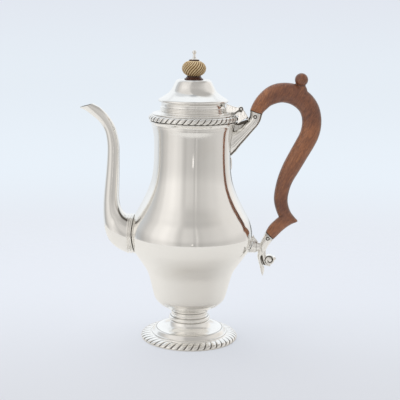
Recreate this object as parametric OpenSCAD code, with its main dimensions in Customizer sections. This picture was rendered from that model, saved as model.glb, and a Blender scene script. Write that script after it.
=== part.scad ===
// Hinged-lid coffee pot: thin raised body on a round foot, swan-neck spout, wooden scroll handle.
// Millimetres, +Z up. The origin lies on the body's axis, on the plane that the foot stands on.
// The spout points towards -X and the handle towards +X.

/* [Body] */
// Height of the foot, from the table to the bottom of the body
foot_h = 33.5; // [28:0.5:42]
// Height of the body, from its bottom to the mouth
body_h = 186; // [165:1:210]
// Radius of the body at the belly
belly_r = 59.4; // [52:0.2:66]
// Radius of the body at the neck
neck_r = 36.6; // [34:0.2:40]
// Radius of the body where it stands on the foot
seat_r = 27.5; // [22:0.5:30]
// Radius of the body's wall at the mouth
mouth_r = 38.6; // [38:0.2:42]
// Thickness of the sheet metal of body, foot and lid
wall = 0.9; // [0.7:0.1:1.4]

/* [Foot] */
// Outer radius of the foot's border
foot_r = 47.3; // [40:0.1:54]
// Radius of the foot's stem at its narrowest
stem_r = 17.2; // [15:0.2:20]
// Height of the flat wire ring that the pot stands on
foot_wire_h = 1.2; // [1:0.1:2]
// Height of the foot's border above the wire ring
foot_border_h = 4.2; // [3:0.1:6]

/* [Lip] */
// Height of the border round the mouth
lip_border_h = 6; // [5:0.1:8]
// How far the border stands out from the mouth's wall
lip_border_w = 3.8; // [3:0.1:5]
// Height of the hollow moulding under the border
rim_cove_h = 5.5; // [4:0.1:8]
// Number of lobes of the border round the mouth
lip_lobes = 44; // [32:1:54]
// Number of lobes of the border round the foot
foot_lobes = 46; // [32:1:56]
// Depth of the grooves between lobes
lobe_depth = 0.55; // [0.3:0.05:0.8]

/* [Lid] */
// Radius of the lid's upright reeded band
band_r = 31.2; // [29:0.2:33]
// Radius of the step that overhangs the band
step_r = 33.2; // [31.5:0.1:35]
// Height of the upright band
band_h = 9; // [7:0.5:12]
// Height of the dome above the band, to its flat top
dome_h = 20.8; // [17:0.2:26]
// Radius of the dome's flat top
dome_top_r = 15.2; // [13:0.2:18]
// Depth of the flange that enters the mouth
bezel_h = 5; // [4:0.5:6]
// Gap between the lid's flange and the inside of the mouth
bezel_gap = 0.9; // [0.8:0.1:1.5]
// Gap between the closed lid and the rim that it rests on
lid_gap = 0.2; // [0.1:0.05:0.4]

/* [Finial] */
// Radius of the knob
knob_r = 11.5; // [9:0.5:15]
// Height of the knob
knob_h = 14.2; // [11:0.2:18]
// Height of the dark collar under the knob
collar_h = 3.2; // [2.6:0.2:6]
// Radius of the pin that holds the finial on the lid
finial_pin_r = 1.5; // [1.2:0.1:2]
// Height of the pin's turned top above the knob's washer
pin_top_h = 8.9; // [6:0.1:12]

/* [Hinge] */
// Radius of the hinge's barrel
barrel_r = 2.1; // [1.8:0.1:2.5]
// Radius of the hinge's pin
hinge_pin_r = 0.9; // [0.7:0.05:1.1]
// Height of the hinge's axis above the mouth
hinge_up = 6.8; // [5.5:0.1:8.5]
// Whole length of the barrel
barrel_len = 15; // [12:0.5:20]
// Length of the lid's middle knuckle
knuckle_len = 6.4; // [5:0.2:8]
// Radial clearance between the pin and the lid's knuckle
hinge_play = 0.05; // [0.03:0.01:0.08]

/* [Spout] */

// How far the spout's mouth stands out from the belly
spout_out = 41.8; // [34:0.2:50]
// How far the spout's mouth lies above the middle of its base
spout_rise = 121.7; // [105:0.5:135]
// Thickness of the spout's wall
spout_wall = 0.9; // [0.7:0.1:1.2]
// Radius of the strainer's holes behind the spout
strainer_hole_r = 1.3; // [0.8:0.1:1.6]
// Spacing of the strainer's holes
strainer_pitch = 5.2; // [4.2:0.1:6]

/* [Handle] */
// Distance of the upper wood joint from the neck's wall
upper_gap = 23.2; // [20:0.2:28]
// Height of the upper wood joint above the mouth's rim
upper_joint_up = 3.5; // [0:0.5:8]
// Distance of the lower wood joint from the belly
lower_gap = 17.2; // [14:0.2:22]
// Height of the lower wood joint relative to the belly's widest height
lower_joint_up = 0.5; // [-4:0.5:6]
// How far the grip reaches beyond the upper joint
handle_out = 62; // [52:1:72]
// Radius of the ball that the thumb rests on
thumb_ball_r = 6.3; // [5:0.1:8]
// Radius of the tenons at the wood's ends
tenon_r = 3.6; // [3:0.1:4]
// Length of the tenons
tenon_len = 9; // [7:0.5:11]
// Radius of the rivets through sockets and wood
rivet_r = 0.9; // [0.7:0.1:1.2]

/* [Hidden] */
$fn = 96;

silver = [0.82, 0.81, 0.78];
wood = [0.36, 0.16, 0.08];
dark_wood = [0.16, 0.07, 0.05];
bone = [0.78, 0.58, 0.30];

// Gap between pieces of one body that lie against each other
seat = 0.02;
// Gap between a faceted foot and the round wall that it lies on
root_gap = 0.1;
// Play of a pin or tenon in its own hole
play = 0.05;

mouth_z = foot_h + body_h;
belly_share = 0.374;
belly_z = foot_h + belly_share * body_h;
flange_h = 3;
washer_h = 1.2;

// ---- Curves and swept solids ----

// Point at share t of the curve from p1 to p2
function curve_at(p0, p1, p2, p3, t) =
    0.5 * (2 * p1 + (p2 - p0) * t + (2 * p0 - 5 * p1 + 4 * p2 - p3) * t * t
        + (3 * p1 - p0 - 3 * p2 + p3) * t * t * t);

// Smooth curve through the stations, with k steps from one to the next
function smooth(s, k) = let (n = len(s) - 1) concat(
    [for (i = [0 : n - 1], j = [0 : k - 1])
        curve_at(s[max(i - 1, 0)], s[i], s[i + 1], s[min(i + 2, n)], j / k)],
    [s[n]]);

function reversed(s) = [for (i = [len(s) - 1 : -1 : 0]) s[i]];

// Outline moved towards the axis by t, along its normals
function inset(s, t) = [for (i = [0 : len(s) - 1])
    let (d = s[min(i + 1, len(s) - 1)] - s[max(i - 1, 0)])
    s[i] + t * [-d[1], d[0]] / norm(d)];

// Faces between ring a and ring b of n points, where ring a comes first along the sweep
function band_faces(a, b, n) = [for (j = [0 : n - 1], half = [0, 1])
    let (k = (j + 1) % n)
    half == 0 ? [a * n + j, a * n + k, b * n + k] : [a * n + j, b * n + k, b * n + j]];

// Solid with a closed skin through the rings and a flat cap on each end.
// Where the last ring isn't flat, its cap is a fan round the point top.
module loft(rings, top = undef) {
    n = len(rings[0]);
    last = len(rings) - 1;
    sides = [for (i = [0 : last - 1]) each band_faces(i, i + 1, n)];
    first_cap = [[for (j = [n - 1 : -1 : 0]) j]];
    last_cap = is_undef(top) ? [[for (j = [0 : n - 1]) last * n + j]]
        : [for (j = [0 : n - 1]) [last * n + j, last * n + (j + 1) % n, (last + 1) * n]];
    points = concat([for (r = rings) each r], is_undef(top) ? [] : [top]);
    polyhedron(points, concat(sides, first_cap, last_cap));
}

// Three rings that close the end of a loft onto the body's outside, at a distance out from it:
// ovals round height z, half high and w wide
function seat_rings(z, half, w, out, n) = [for (k = [1, 0.66, 0.33])
    [for (j = [0 : n - 1]) let (h = z - k * half * cos(360 * j / n), y = k * w * sin(360 * j / n))
        [body_x(h, y, out), y, h]]];
function seat_top(z, out) = [body_x(z, 0, out), 0, z];

// Open channel whose section runs along one half ring and back along the inner half ring
module loft_channel(outer, inner) {
    m = len(outer[0]);
    n = 2 * m;
    last = len(outer) - 1;
    sides = [for (i = [0 : last - 1]) each band_faces(i, i + 1, n)];
    first_cap = [for (j = [0 : m - 2]) each [[j + 1, j, n - 1 - j], [j + 1, n - 1 - j, n - 2 - j]]];
    last_cap = [for (f = first_cap) [for (k = reversed(f)) last * n + k]];
    points = [for (i = [0 : last]) each concat(outer[i], reversed(inner[i]))];
    polyhedron(points, concat(sides, first_cap, last_cap));
}

// Tube whose skin runs out along the rings and back along the inner rings
module loft_tube(outer, inner) {
    rings = concat(outer, reversed(inner));
    n = len(rings[0]);
    m = len(rings);
    sides = [for (i = [0 : m - 1]) each band_faces(i, (i + 1) % m, n)];
    polyhedron([for (r = rings) each r], sides);
}

// A rib is [x, z of one edge, x, z of the other edge, half width]
function rib_mid(r) = [(r[0] + r[2]) / 2, (r[1] + r[3]) / 2];

// Ribs moved so that their first middle lies on a and their last on b,
// with lengths along X scaled by bow before the lean that brings the last one onto b
function fit_ribs(ribs, a, b, bow = undef) =
    let (m0 = rib_mid(ribs[0]), d = rib_mid(ribs[len(ribs) - 1]) - m0)
    let (kx = is_undef(bow) ? (b[0] - a[0]) / d[0] : bow)
    let (kz = (b[1] - a[1]) / d[1], lean = b[0] - a[0] - kx * d[0])
    [for (r = ribs) let (s0 = (r[1] - m0[1]) / d[1], s1 = (r[3] - m0[1]) / d[1])
        [a[0] + kx * (r[0] - m0[0]) + lean * s0, a[1] + kz * (r[1] - m0[1]),
         a[0] + kx * (r[2] - m0[0]) + lean * s1, a[1] + kz * (r[3] - m0[1]), r[4]]];

// Oval ring of n points round a rib, drawn in by t
function rib_ring(r, n, t = 0) =
    let (m = rib_mid(r), h = [r[0] - r[2], r[1] - r[3]] / 2, s = 1 - t / norm(h))
    [for (j = [0 : n - 1]) let (c = cos(360 * j / n), w = sin(360 * j / n))
        [m[0] + h[0] * s * c, (r[4] - t) * w, m[1] + h[1] * s * c]];

// ---- Outlines of the turned metal ----

function body_point(share, swell) = [neck_r + swell * (belly_r - neck_r), foot_h + share * body_h];

mouth_wall_z = foot_h + 0.933 * body_h;
body_outline = concat(smooth([
    [seat_r, foot_h], body_point(0.018, -0.23), body_point(0.040, -0.10), body_point(0.083, 0),
    body_point(0.126, 0.09), body_point(0.180, 0.23), body_point(0.228, 0.47),
    body_point(0.272, 0.72), body_point(0.315, 0.90), body_point(belly_share, 1),
    body_point(0.417, 0.97), body_point(0.460, 0.85), body_point(0.508, 0.64),
    body_point(0.562, 0.41), body_point(0.616, 0.22), body_point(0.669, 0.09),
    body_point(0.734, 0.02), body_point(0.815, 0), body_point(0.884, 0.02),
    [mouth_r, mouth_wall_z]], 3), [[mouth_r, mouth_z]]);

body_radii = [for (p = body_outline) [p[1], p[0]]];
// Radius of the body's outside at height z
function body_r(z) = lookup(z, body_radii);
// Distance from the axis, along X, of the body's outside at height z and sideways place y
function body_x(z, y, out) = sqrt(pow(body_r(z) + out, 2) - y * y);

mouth_in_r = mouth_r - wall;
floor_z = foot_h + wall;

border_w = 8.9;
border_in_r = foot_r - border_w;
border_top_z = foot_wire_h + foot_border_h;
function foot_point(out, up) =
    [stem_r + out * (border_in_r - stem_r), border_top_z + up * (foot_h - border_top_z)];
foot_outline = concat(
    [[border_in_r - seat, foot_wire_h], [border_in_r - seat, border_top_z - 0.6]],
    [foot_point(0.95, -0.02), foot_point(0.93, 0.02), foot_point(0.87, 0.04),
     foot_point(0.775, 0.15), foot_point(0.73, 0.17)],
    smooth([foot_point(0.70, 0.172), foot_point(0.557, 0.183), foot_point(0.39, 0.22),
        foot_point(0.25, 0.28), foot_point(0.16, 0.36), foot_point(0.125, 0.43)], 3),
    [foot_point(0.08, 0.455), foot_point(0.12, 0.48), foot_point(0.135, 0.52),
     foot_point(0.12, 0.56), foot_point(0.07, 0.59)],
    smooth([foot_point(0, 0.63), foot_point(0.005, 0.68), foot_point(0.05, 0.76),
        foot_point(0.16, 0.85), [seat_r - 0.7, foot_h - seat]], 3));
foot_inside = concat(
    [[border_in_r - wall, foot_wire_h], foot_point(0.88, -0.08)],
    smooth([foot_point(0.74, 0.10), foot_point(0.55, 0.135), foot_point(0.34, 0.18),
        foot_point(0.19, 0.26), foot_point(0.08, 0.37), foot_point(0.02, 0.46),
        foot_point(-0.055, 0.60), foot_point(-0.05, 0.69), foot_point(0.02, 0.80),
        [seat_r - 0.7 - 1.6 * wall, foot_h - seat]], 3));

module turned(outline) {
    rotate_extrude() polygon(outline);
}

// ---- Body ----

module strainer_holes() {
    for (ring = [0 : 2], k = [0 : max(1, 6 * ring) - 1])
        let (a = ring == 0 ? 0 : 360 * k / (6 * ring))
            let (out = ring * strainer_pitch)
                translate([-belly_r - 2, out * sin(a), belly_z + out * cos(a)])
                    rotate([0, 90, 0]) cylinder(h = 8, r = strainer_hole_r, $fn = 24);
}

module body_shell() {
    inside = [for (p = inset(body_outline, wall)) [p[0], min(max(p[1], floor_z), mouth_z)]];
    color(silver) difference() {
        turned(concat([[0, foot_h]], body_outline, reversed(inside), [[0, floor_z]]));
        strainer_holes();
    }
}

cove_z = mouth_z - lip_border_h - rim_cove_h;

module rim_collar() {
    in_r = mouth_r + seat;
    out_r = mouth_r + lip_border_w - 0.9;
    top_z = mouth_z - lip_border_h - seat;
    color(silver) turned(concat(
        [[in_r, cove_z], [in_r + 0.8, cove_z], [in_r + 0.8, cove_z + 0.7]],
        smooth([[in_r + 0.5, cove_z + 1], [in_r + 0.9, cove_z + 2.6], [out_r, top_z - 0.9]], 3),
        [[out_r, top_z], [in_r, top_z]]));
}

// Ring of slanting lobes. The section is a flat back and foot with a bulging face,
// from angle a0 to a1 round a middle at height mid_z.
module gadroon(in_r, out_r, z0, z1, mid_z, a0, a1, lobes, slant) {
    steps = 6;
    face = 6;
    low = mid_z - z0;
    high = z1 - mid_z;
    function section(u) = concat([[in_r, z0]],
        [for (i = [0 : face])
            let (a = a0 + (a1 - a0) * i / face)
            let (furrow = 1 - abs(cos(lobes * u / 2 + slant * i / face)))
            let (dip = lobe_depth * furrow * sin(180 * (i + 0.5) / (face + 1)))
            [in_r + (out_r - in_r - dip) * cos(a), mid_z + (a < 0 ? low : high - dip) * sin(a)]],
        [[in_r, z1 - lobe_depth]]);
    n = lobes * steps;
    rings = [for (k = [0 : n - 1]) let (u = 360 * k / n)
        [for (p = section(u)) [p[0] * cos(u), p[0] * sin(u), p[1]]]];
    m = len(rings[0]);
    polyhedron([for (r = rings) each r], [for (i = [0 : n - 1]) each band_faces(i, (i + 1) % n, m)]);
}

module lip_border() {
    z0 = mouth_z - lip_border_h;
    color(silver) gadroon(mouth_r + seat, mouth_r + lip_border_w, z0, mouth_z,
        z0 + 0.4 * lip_border_h, -90, 75, lip_lobes, -170);
}

// ---- Foot ----

module foot_shell() {
    color(silver) turned(concat(foot_outline, reversed(foot_inside)));
}

module foot_border() {
    z0 = foot_wire_h + seat;
    color(silver) gadroon(border_in_r, foot_r, z0, border_top_z, z0 + 0.2, -90, 85, foot_lobes, -190);
}

module foot_wire() {
    color(silver) rotate_extrude()
        translate([border_in_r - 2, 0]) square([foot_r - 0.5 - border_in_r + 2, foot_wire_h]);
}

// ---- Spout ----

// Distances out from the belly and up from its widest height: lower edge, upper edge, half width
spout_ribs = [
    [2.6, -17.7, 2.1, 18, 15.5], [8.6, -15, 3.8, 18.8, 15], [15.1, -10.5, 6.1, 20.5, 14],
    [20.1, -4, 8.3, 23.5, 12.5], [23.2, 5.5, 9.8, 27, 10.5], [24.6, 17, 10.9, 31.5, 9],
    [24.6, 30, 11.3, 37, 7.8], [23.7, 43, 11.2, 45.5, 7], [22.2, 58.5, 11, 58.5, 6.2],
    [21.1, 74, 11, 73.5, 5.6], [21, 86, 11.4, 87.5, 5.2], [22.6, 97, 14.2, 100.3, 4.9],
    [25.8, 104.4, 17.8, 108, 4.7], [30.6, 110.5, 22.9, 115, 4.6], [36.9, 115.1, 28.6, 120.5, 4.6],
    [42.6, 117.9, 32.6, 123, 4.8], [47.9, 119.5, 35.8, 124.3, 5]];
spout_sides = 20;
collar_out = 2.4;

// Ribs in the pot's frame, with the spout on the side of -X
function spout_frame() =
    let (fitted = fit_ribs(spout_ribs, [collar_out, 0], [spout_out, spout_rise]))
    [for (r = fitted) [-belly_r - r[0], belly_z + r[1], -belly_r - r[2], belly_z + r[3], r[4]]];

// First rib's ring brought onto the body's outside, and grown by t
function spout_root(t) =
    let (r = rib_ring(spout_frame()[0], spout_sides, -t))
    [for (p = r) [-body_x(p[2], p[1], root_gap), p[1], p[2]]];

// The half of a ring that lies on the side of +Y
function half_ring(ring) = [for (j = [0 : spout_sides / 2]) ring[j]];

// The spout is cast in two halves, which are joined along the pot's middle plane
module spout_half() {
    ribs = smooth(spout_frame(), 2);
    outer = concat([spout_root(0)], [for (r = ribs) rib_ring(r, spout_sides)]);
    inner = concat([spout_root(-spout_wall)], [for (r = ribs) rib_ring(r, spout_sides, spout_wall)]);
    translate([0, seat / 2, 0]) loft_channel([for (r = outer) half_ring(r)], [for (r = inner) half_ring(r)]);
}

module spout_left() {
    color(silver) spout_half();
}

module spout_right() {
    color(silver) mirror([0, 1, 0]) spout_half();
}

// Number of reeds of the ring round the spout's root, their least thickness and their rise
reeds = 3;
reed_root = 0.8;
reed_rise = 0.9;

// Reeded ring round the spout's root, fitted to the body
module spout_collar() {
    steps = 12;
    function place(t, grow) =
        let (base = spout_root(grow), far = rib_ring(spout_frame()[0], spout_sides, -grow))
        [for (j = [0 : spout_sides - 1]) base[j] + t * (far[j] - base[j])];
    outer = [for (i = [0 : steps])
        place(i / steps, reed_root + reed_rise * abs(sin(180 * reeds * i / steps)))];
    inner = [for (i = [0, steps]) place(i / steps, seat)];
    color(silver) loft_tube(outer, inner);
}

// ---- Handle and its sockets ----

upper_joint = [neck_r + upper_gap, mouth_z + upper_joint_up];
lower_joint = [belly_r + lower_gap, belly_z + lower_joint_up];

// Places relative to the upper wood joint: outer edge, inner edge, half width
handle_ribs = [
    [-6, 1.7, 5.9, -1.8, 6.2], [-3.8, 7.2, 7.1, 0.2, 6.6], [-0.4, 13.2, 10, 3, 7],
    [4.2, 18.7, 13, 5.8, 7.4], [10, 23.6, 17.3, 7.8, 7.8], [16.5, 26.6, 21.5, 9, 8],
    [23, 27.8, 25, 9.3, 8], [30, 27.9, 29.5, 8.6, 8.2], [37, 26.6, 33.7, 7, 8.3],
    [43.5, 23.1, 37.5, 4.5, 8.3], [50.9, 17.8, 40.3, 1.8, 8.2], [56.2, 11.5, 42.2, -1.5, 8],
    [59.8, 4.3, 43.3, -5.5, 8], [61.8, -5, 43.6, -10, 7.9], [61.7, -14.5, 43, -15.2, 7.8],
    [59.6, -23.5, 41.7, -19.5, 7.7], [55.4, -32.7, 38.6, -26, 7.6], [49.8, -42.7, 34, -35, 7.5],
    [43, -55, 28.1, -46.8, 7.3], [37.3, -65, 23.7, -58, 7], [34.4, -72.5, 20.9, -68.5, 6.7],
    [32.7, -81.5, 19.3, -80, 6.6], [33.3, -88.5, 19.9, -87.5, 6.6], [36, -95.5, 21.6, -93.5, 6.5],
    [39.8, -100.4, 23.4, -98, 6], [43, -104.5, 24.5, -100.7, 5.5], [38, -107, 22.7, -102.2, 5.8],
    [33, -110.2, 20.2, -104.7, 6], [28.5, -114, 17.6, -107.2, 5.9], [24.5, -118.2, 14.8, -111, 5.7],
    [20.6, -122.3, 12.6, -115.1, 5.4]];
handle_reach = max([for (r = handle_ribs) r[0]]);
handle_frame = fit_ribs(handle_ribs, upper_joint, lower_joint, handle_out / handle_reach);

// Place of the thumb ball along the grip, as a share of the way from one rib to the next,
// and its rise above the grip's middle
ball_rib = 9;
ball_share = 0.2;
ball_rise = 18;

function unit(v) = v / norm(v);
// Direction from a joint into its socket, square to the joint's plane
function into_socket(rib, sign) = let (e = unit([rib[2] - rib[0], rib[3] - rib[1]])) sign * [e[1], -e[0]];

upper_way = into_socket(handle_frame[0], 1);
lower_way = into_socket(handle_frame[len(handle_frame) - 1], -1);
lower_tenon_r = tenon_r - 0.9;
lower_tenon_len = tenon_len - 2;
rivet_share = 0.48;
// Half the length of the bars that cut the rivets' holes
through = 20;
// How far a tenon's root is sunk into the wood
tenon_root = 1;

// Child drawn along +Z is laid along the way in the XZ plane, from a joint
module along(joint, way) {
    translate([joint[0], 0, joint[1]]) rotate([0, atan2(way[0], way[1]), 0]) children();
}

module upper_tenon(grow) {
    along(upper_joint, upper_way) translate([0, 0, -tenon_root])
        cylinder(h = tenon_len + tenon_root + grow, r = tenon_r + grow);
}

module lower_tenon(grow) {
    along(lower_joint, lower_way) translate([0, 0, -tenon_root])
        cylinder(h = lower_tenon_len + tenon_root + grow, r = lower_tenon_r + grow);
}

upper_rivet_at = upper_joint + rivet_share * tenon_len * upper_way;
lower_rivet_at = lower_joint + rivet_share * lower_tenon_len * lower_way;

// Round bar along Y at a place in the XZ plane
module crossbar(at, half, r) {
    translate([at[0], 0, at[1]]) rotate([90, 0, 0]) cylinder(h = 2 * half, r = r, center = true, $fn = 32);
}

module thumb_ball() {
    near = [for (i = [-1 : 2]) handle_frame[ball_rib + i]];
    mid = rib_mid(curve_at(near[0], near[1], near[2], near[3], ball_share));
    translate([mid[0], 0, mid[1]]) {
        translate([0, 0, ball_rise]) sphere(r = thumb_ball_r);
        cylinder(h = ball_rise, r1 = 0.78 * thumb_ball_r, r2 = 0.45 * thumb_ball_r);
    }
}

module handle() {
    color(wood) difference() {
        union() {
            loft([for (r = smooth(handle_frame, 2)) rib_ring(r, 20)]);
            thumb_ball();
            upper_tenon(0);
            lower_tenon(0);
        }
        crossbar(upper_rivet_at, through, rivet_r + play);
        crossbar(lower_rivet_at, through, rivet_r + play);
    }
}

// Places relative to the upper wood joint: lower edge, upper edge, half width
upper_socket_ribs = [
    [5.9, -1.8, -6, 1.7, 6.2], [4.3, -8, -6.1, -4, 6.1], [1.6, -13, -8.6, -8.4, 6],
    [-2, -17.4, -12.3, -12, 5.9], [-5.8, -22.2, -15, -14.8, 5.8], [-10, -27.4, -17.8, -16.8, 6],
    [-14.2, -32.6, -20.6, -18, 6.4], [-18, -38, -22.6, -18.2, 6.8]];
upper_foot_half = 12.3;
upper_foot_w = 7;
upper_foot_down = 30.6;
upper_foot_z = upper_joint[1] - upper_foot_down;

module upper_socket() {
    n = 20;
    end = [upper_joint[0] - upper_gap + 2.6, upper_foot_z + 2.4];
    ribs = fit_ribs(upper_socket_ribs, upper_joint - [0.05, 0.1], end);
    roots = seat_rings(upper_foot_z, upper_foot_half, upper_foot_w, root_gap, n);
    color(silver) difference() {
        loft(concat([for (r = smooth(ribs, 2)) rib_ring(r, n)], roots), seat_top(upper_foot_z, root_gap));
        upper_tenon(play);
        crossbar(upper_rivet_at, through, rivet_r + play);
    }
}

// Layer of the body's outside, t thick, over a flat shape drawn with Y across and Z up
module on_body(t) {
    low = foot_h + 0.1 * body_h;
    layer = [for (p = body_outline) if (p[1] > low && p[1] < mouth_wall_z) p];
    intersection() {
        turned(concat([for (p = layer) p + [seat, 0]], reversed([for (p = layer) p + [t, 0]])));
        rotate([90, 0, 90]) linear_extrude(belly_r + 10) children();
    }
}

// Drop below the upper socket's foot: its thickness, length and largest and smallest radius
drop_t = 1.2;
drop_len = 13;
drop_r = 3.6;
drop_tip_r = 0.8;

module upper_socket_drop() {
    top = upper_foot_z - upper_foot_half - 0.3;
    color(silver) on_body(drop_t) hull() {
        translate([0, top - drop_r]) circle(r = drop_r);
        translate([0, top - drop_len + drop_tip_r]) circle(r = drop_tip_r);
    }
}

// Places relative to the lower wood joint: right edge, left edge, half width
lower_socket_ribs = [
    [4, -3.6, -4, 3.6, 5.4], [1.1, -7, -7.2, -2.8, 5], [-1.4, -10.8, -8.8, -6.3, 4.6],
    [-3.2, -14.3, -10.3, -11.8, 4.2], [-4.6, -17.6, -11.3, -17.3, 4], [-7.6, -21, -11.7, -21, 3.5],
    [-7.4, -25, -10.8, -25.2, 3], [-5.7, -29.3, -9.6, -29, 2.6], [-4.2, -32.4, -8.6, -32.7, 2.2],
    [-4.4, -36.5, -7.6, -36.8, 1.7], [-5.5, -40.4, -6.2, -40.7, 0.8]];
// The arm that curls from the stem under the volute
volute_arm_ribs = [
    [-3.4, -14, -8.8, -13.6, 3.4], [-3.2, -17.5, -8.4, -17.3, 3.7], [-2.8, -21, -7.2, -21.4, 3.8],
    [-2, -25, -5.8, -26, 3.8], [-0.5, -28, -3.6, -29.8, 3.8], [2, -28.6, 0.6, -31, 3.8]];
volute_at = lower_joint + [1, -25.4];
volute_r = 5.2;
volute_w = 8.4;
plate_t = 1.8;
boss_z = lower_joint[1] - 11.7;
boss_half = 5.4;
boss_w = 4;

module volute() {
    crossbar(volute_at, volute_w / 2, volute_r);
    crossbar(volute_at, volute_w / 2 + 0.8, 0.42 * volute_r);
    translate([volute_at[0] + 0.93 * volute_r, 0, volute_at[1] + 0.3 * volute_r]) rotate([90, 0, 0])
        cylinder(h = volute_w, r = 0.28 * volute_r, center = true, $fn = 24);
}

// Neck of the lower socket, from the plate on the belly to the socket's stem
module socket_neck() {
    n = 16;
    function ring(x, k) = [for (j = [0 : n - 1])
        [x, k * boss_w * sin(360 * j / n), boss_z - k * boss_half * cos(360 * j / n)]];
    out = plate_t + root_gap;
    roots = seat_rings(boss_z, 1.05 * boss_half, 1.05 * boss_w, out, n);
    far = lower_joint[0] - 6.2;
    loft(concat([ring(far, 0.9), ring(far - 2.5, 0.92), ring(belly_r + plate_t + 1.5, 0.95)], roots),
        seat_top(boss_z, out));
}

module lower_socket() {
    at_joint = concat(lower_joint, lower_joint, [0]);
    end = lower_joint + rib_mid(lower_socket_ribs[len(lower_socket_ribs) - 1]);
    ribs = fit_ribs(lower_socket_ribs, lower_joint - [0.07, 0.07], end);
    color(silver) difference() {
        union() {
            loft([for (r = smooth(ribs, 2)) rib_ring(r, 16)]);
            socket_neck();
            loft([for (r = smooth(volute_arm_ribs, 2)) rib_ring(r + at_joint, 16)]);
            volute();
        }
        lower_tenon(play);
        crossbar(lower_rivet_at, through, rivet_r + play);
    }
}

module lower_socket_plate() {
    color(silver) on_body(plate_t) hull() {
        translate([0, boss_z + 6.5]) circle(r = 4.6);
        translate([0, boss_z]) circle(r = 6.6);
        translate([0, boss_z - 9.5]) circle(r = 1.4);
    }
}

module upper_rivet() {
    color(silver) crossbar(upper_rivet_at, upper_socket_ribs[1][4] + 0.35, rivet_r);
}

module lower_rivet() {
    color(silver) crossbar(lower_rivet_at, lower_socket_ribs[0][4] + 0.35, rivet_r);
}

// ---- Hinge ----

hinge_x = mouth_r + lip_border_w + barrel_r + 0.5;
hinge_z = mouth_z + hinge_up;
leaf_w = barrel_len - 1;
slot_half = knuckle_len / 2 + 0.3;
strap_z = mouth_z + lid_gap + 1.22;
// Half the thickness of the hinge's upright ears under the barrel
ear_half = 1.4;
// Straps that brace the barrel against the handle's socket: their end and its radius
brace_end = upper_joint - [8.2, 5.9];
brace_r = 1;

module barrel(y0, y1, r) {
    translate([hinge_x, y1, hinge_z]) rotate([90, 0, 0]) cylinder(h = y1 - y0, r = r);
}

// Lug behind the border, with two ears that carry the outer knuckles
module hinge_body_leaf() {
    back_r = mouth_r + lip_border_w + 0.05;
    end_y = barrel_len / 2;
    lug_low = mouth_z - 1.2 * lip_border_h;
    color(silver) difference() {
        union() {
            barrel(slot_half, end_y, barrel_r);
            barrel(-end_y, -slot_half, barrel_r);
            translate([0, leaf_w / 2, 0]) rotate([90, 0, 0]) linear_extrude(leaf_w) polygon([
                [back_r - 2, lug_low], [hinge_x - barrel_r, lug_low + 0.2], [hinge_x + 0.5, lug_low + 2.4],
                [hinge_x + 1.6 * barrel_r, mouth_z - 1.8], [hinge_x + ear_half, mouth_z + 1.5],
                [hinge_x + ear_half, hinge_z], [hinge_x - ear_half, hinge_z],
                [hinge_x - ear_half, mouth_z + 1.9], [back_r - 2, mouth_z + 1]]);
            translate([0, leaf_w / 2, 0]) rotate([90, 0, 0]) linear_extrude(leaf_w) hull() {
                translate([hinge_x + 0.4, hinge_z - 0.4]) circle(r = ear_half);
                translate(brace_end) circle(r = brace_r);
            }
        }
        translate([0, 0, mouth_z - 20]) cylinder(h = 30, r = back_r, $fn = 192);
        barrel(-slot_half, slot_half, barrel_r + 0.35);
        translate([0, -slot_half, mouth_z - 0.2]) cube([hinge_x + 10, 2 * slot_half, 20]);
        barrel(-end_y - 1, end_y + 1, hinge_pin_r + seat);
    }
}

module hinge_pin() {
    half = barrel_len / 2;
    color(silver) barrel(-half - 0.4, half + 0.4, hinge_pin_r);
}

// Bracket that runs from the lid's band and flange up to the middle knuckle
module hinge_lid_leaf() {
    half = knuckle_len / 2;
    color(silver) difference() {
        union() {
            barrel(-half, half, barrel_r);
            translate([0, half, 0]) rotate([90, 0, 0]) linear_extrude(knuckle_len) polygon([
                [band_r + 2.6, strap_z], [mouth_r - 1.5, strap_z], [mouth_r + 1, strap_z + 2.2],
                [hinge_x - 0.3 * barrel_r, hinge_z - 0.9 * barrel_r],
                [hinge_x - 0.2 * barrel_r, hinge_z + 0.9 * barrel_r],
                [hinge_x - 1.3 * barrel_r, hinge_z + 0.3 * barrel_r],
                [band_r + 5.4, hinge_z + barrel_r], [band_r - 1, mouth_z + band_h + 2],
                [band_r - 1, strap_z + 2]]);
        }
        cylinder(h = mouth_z + 30, r = band_r + 0.6 + root_gap, $fn = 192);
        barrel(-half - 1, half + 1, hinge_pin_r + hinge_play);
    }
}

// ---- Lid ----

flange_z = mouth_z + lid_gap;
band_z = flange_z + flange_h;
dome_z = band_z + band_h;
top_z = dome_z + dome_h;
band_in_r = band_r - 1.3;
finial_hole_r = finial_pin_r + play;

module lid_flange() {
    out_r = mouth_r + 0.6;
    color(silver) turned([[band_in_r, flange_z], [out_r, flange_z], [out_r, flange_z + 0.7],
        [out_r - 0.6, flange_z + 1.2], [band_r + 2.4, flange_z + 1.2], [band_r + 1.2, flange_z + 1.7],
        [band_r + 0.7, flange_z + 2.5], [band_r + 0.6, band_z], [band_in_r, band_z]]);
}

module lid_bezel() {
    out_r = mouth_in_r - bezel_gap;
    top = flange_z - seat;
    color(silver) turned([[out_r - wall, top - bezel_h], [out_r - 0.3, top - bezel_h],
        [out_r, top - bezel_h + 1], [out_r, top], [out_r - wall, top]]);
}

module lid_band() {
    function reed(i, share) = [for (a = [0 : 30 : 180])
        [band_r - 0.35 + 0.55 * sin(a), band_z + seat + band_h * (share + 0.155 * (i + 0.5 - cos(a) / 2))]];
    top = dome_z - seat;
    color(silver) turned(concat([[band_in_r, band_z + seat]], reed(0, 0), reed(1, 0), reed(2, 0),
        smooth([[band_r - 0.5, band_z + 0.48 * band_h], [band_r - 0.9, band_z + 0.62 * band_h],
            [band_r - 0.7, band_z + 0.82 * band_h], [band_r + 0.3, top]], 3), [[band_in_r, top]]));
}

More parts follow.
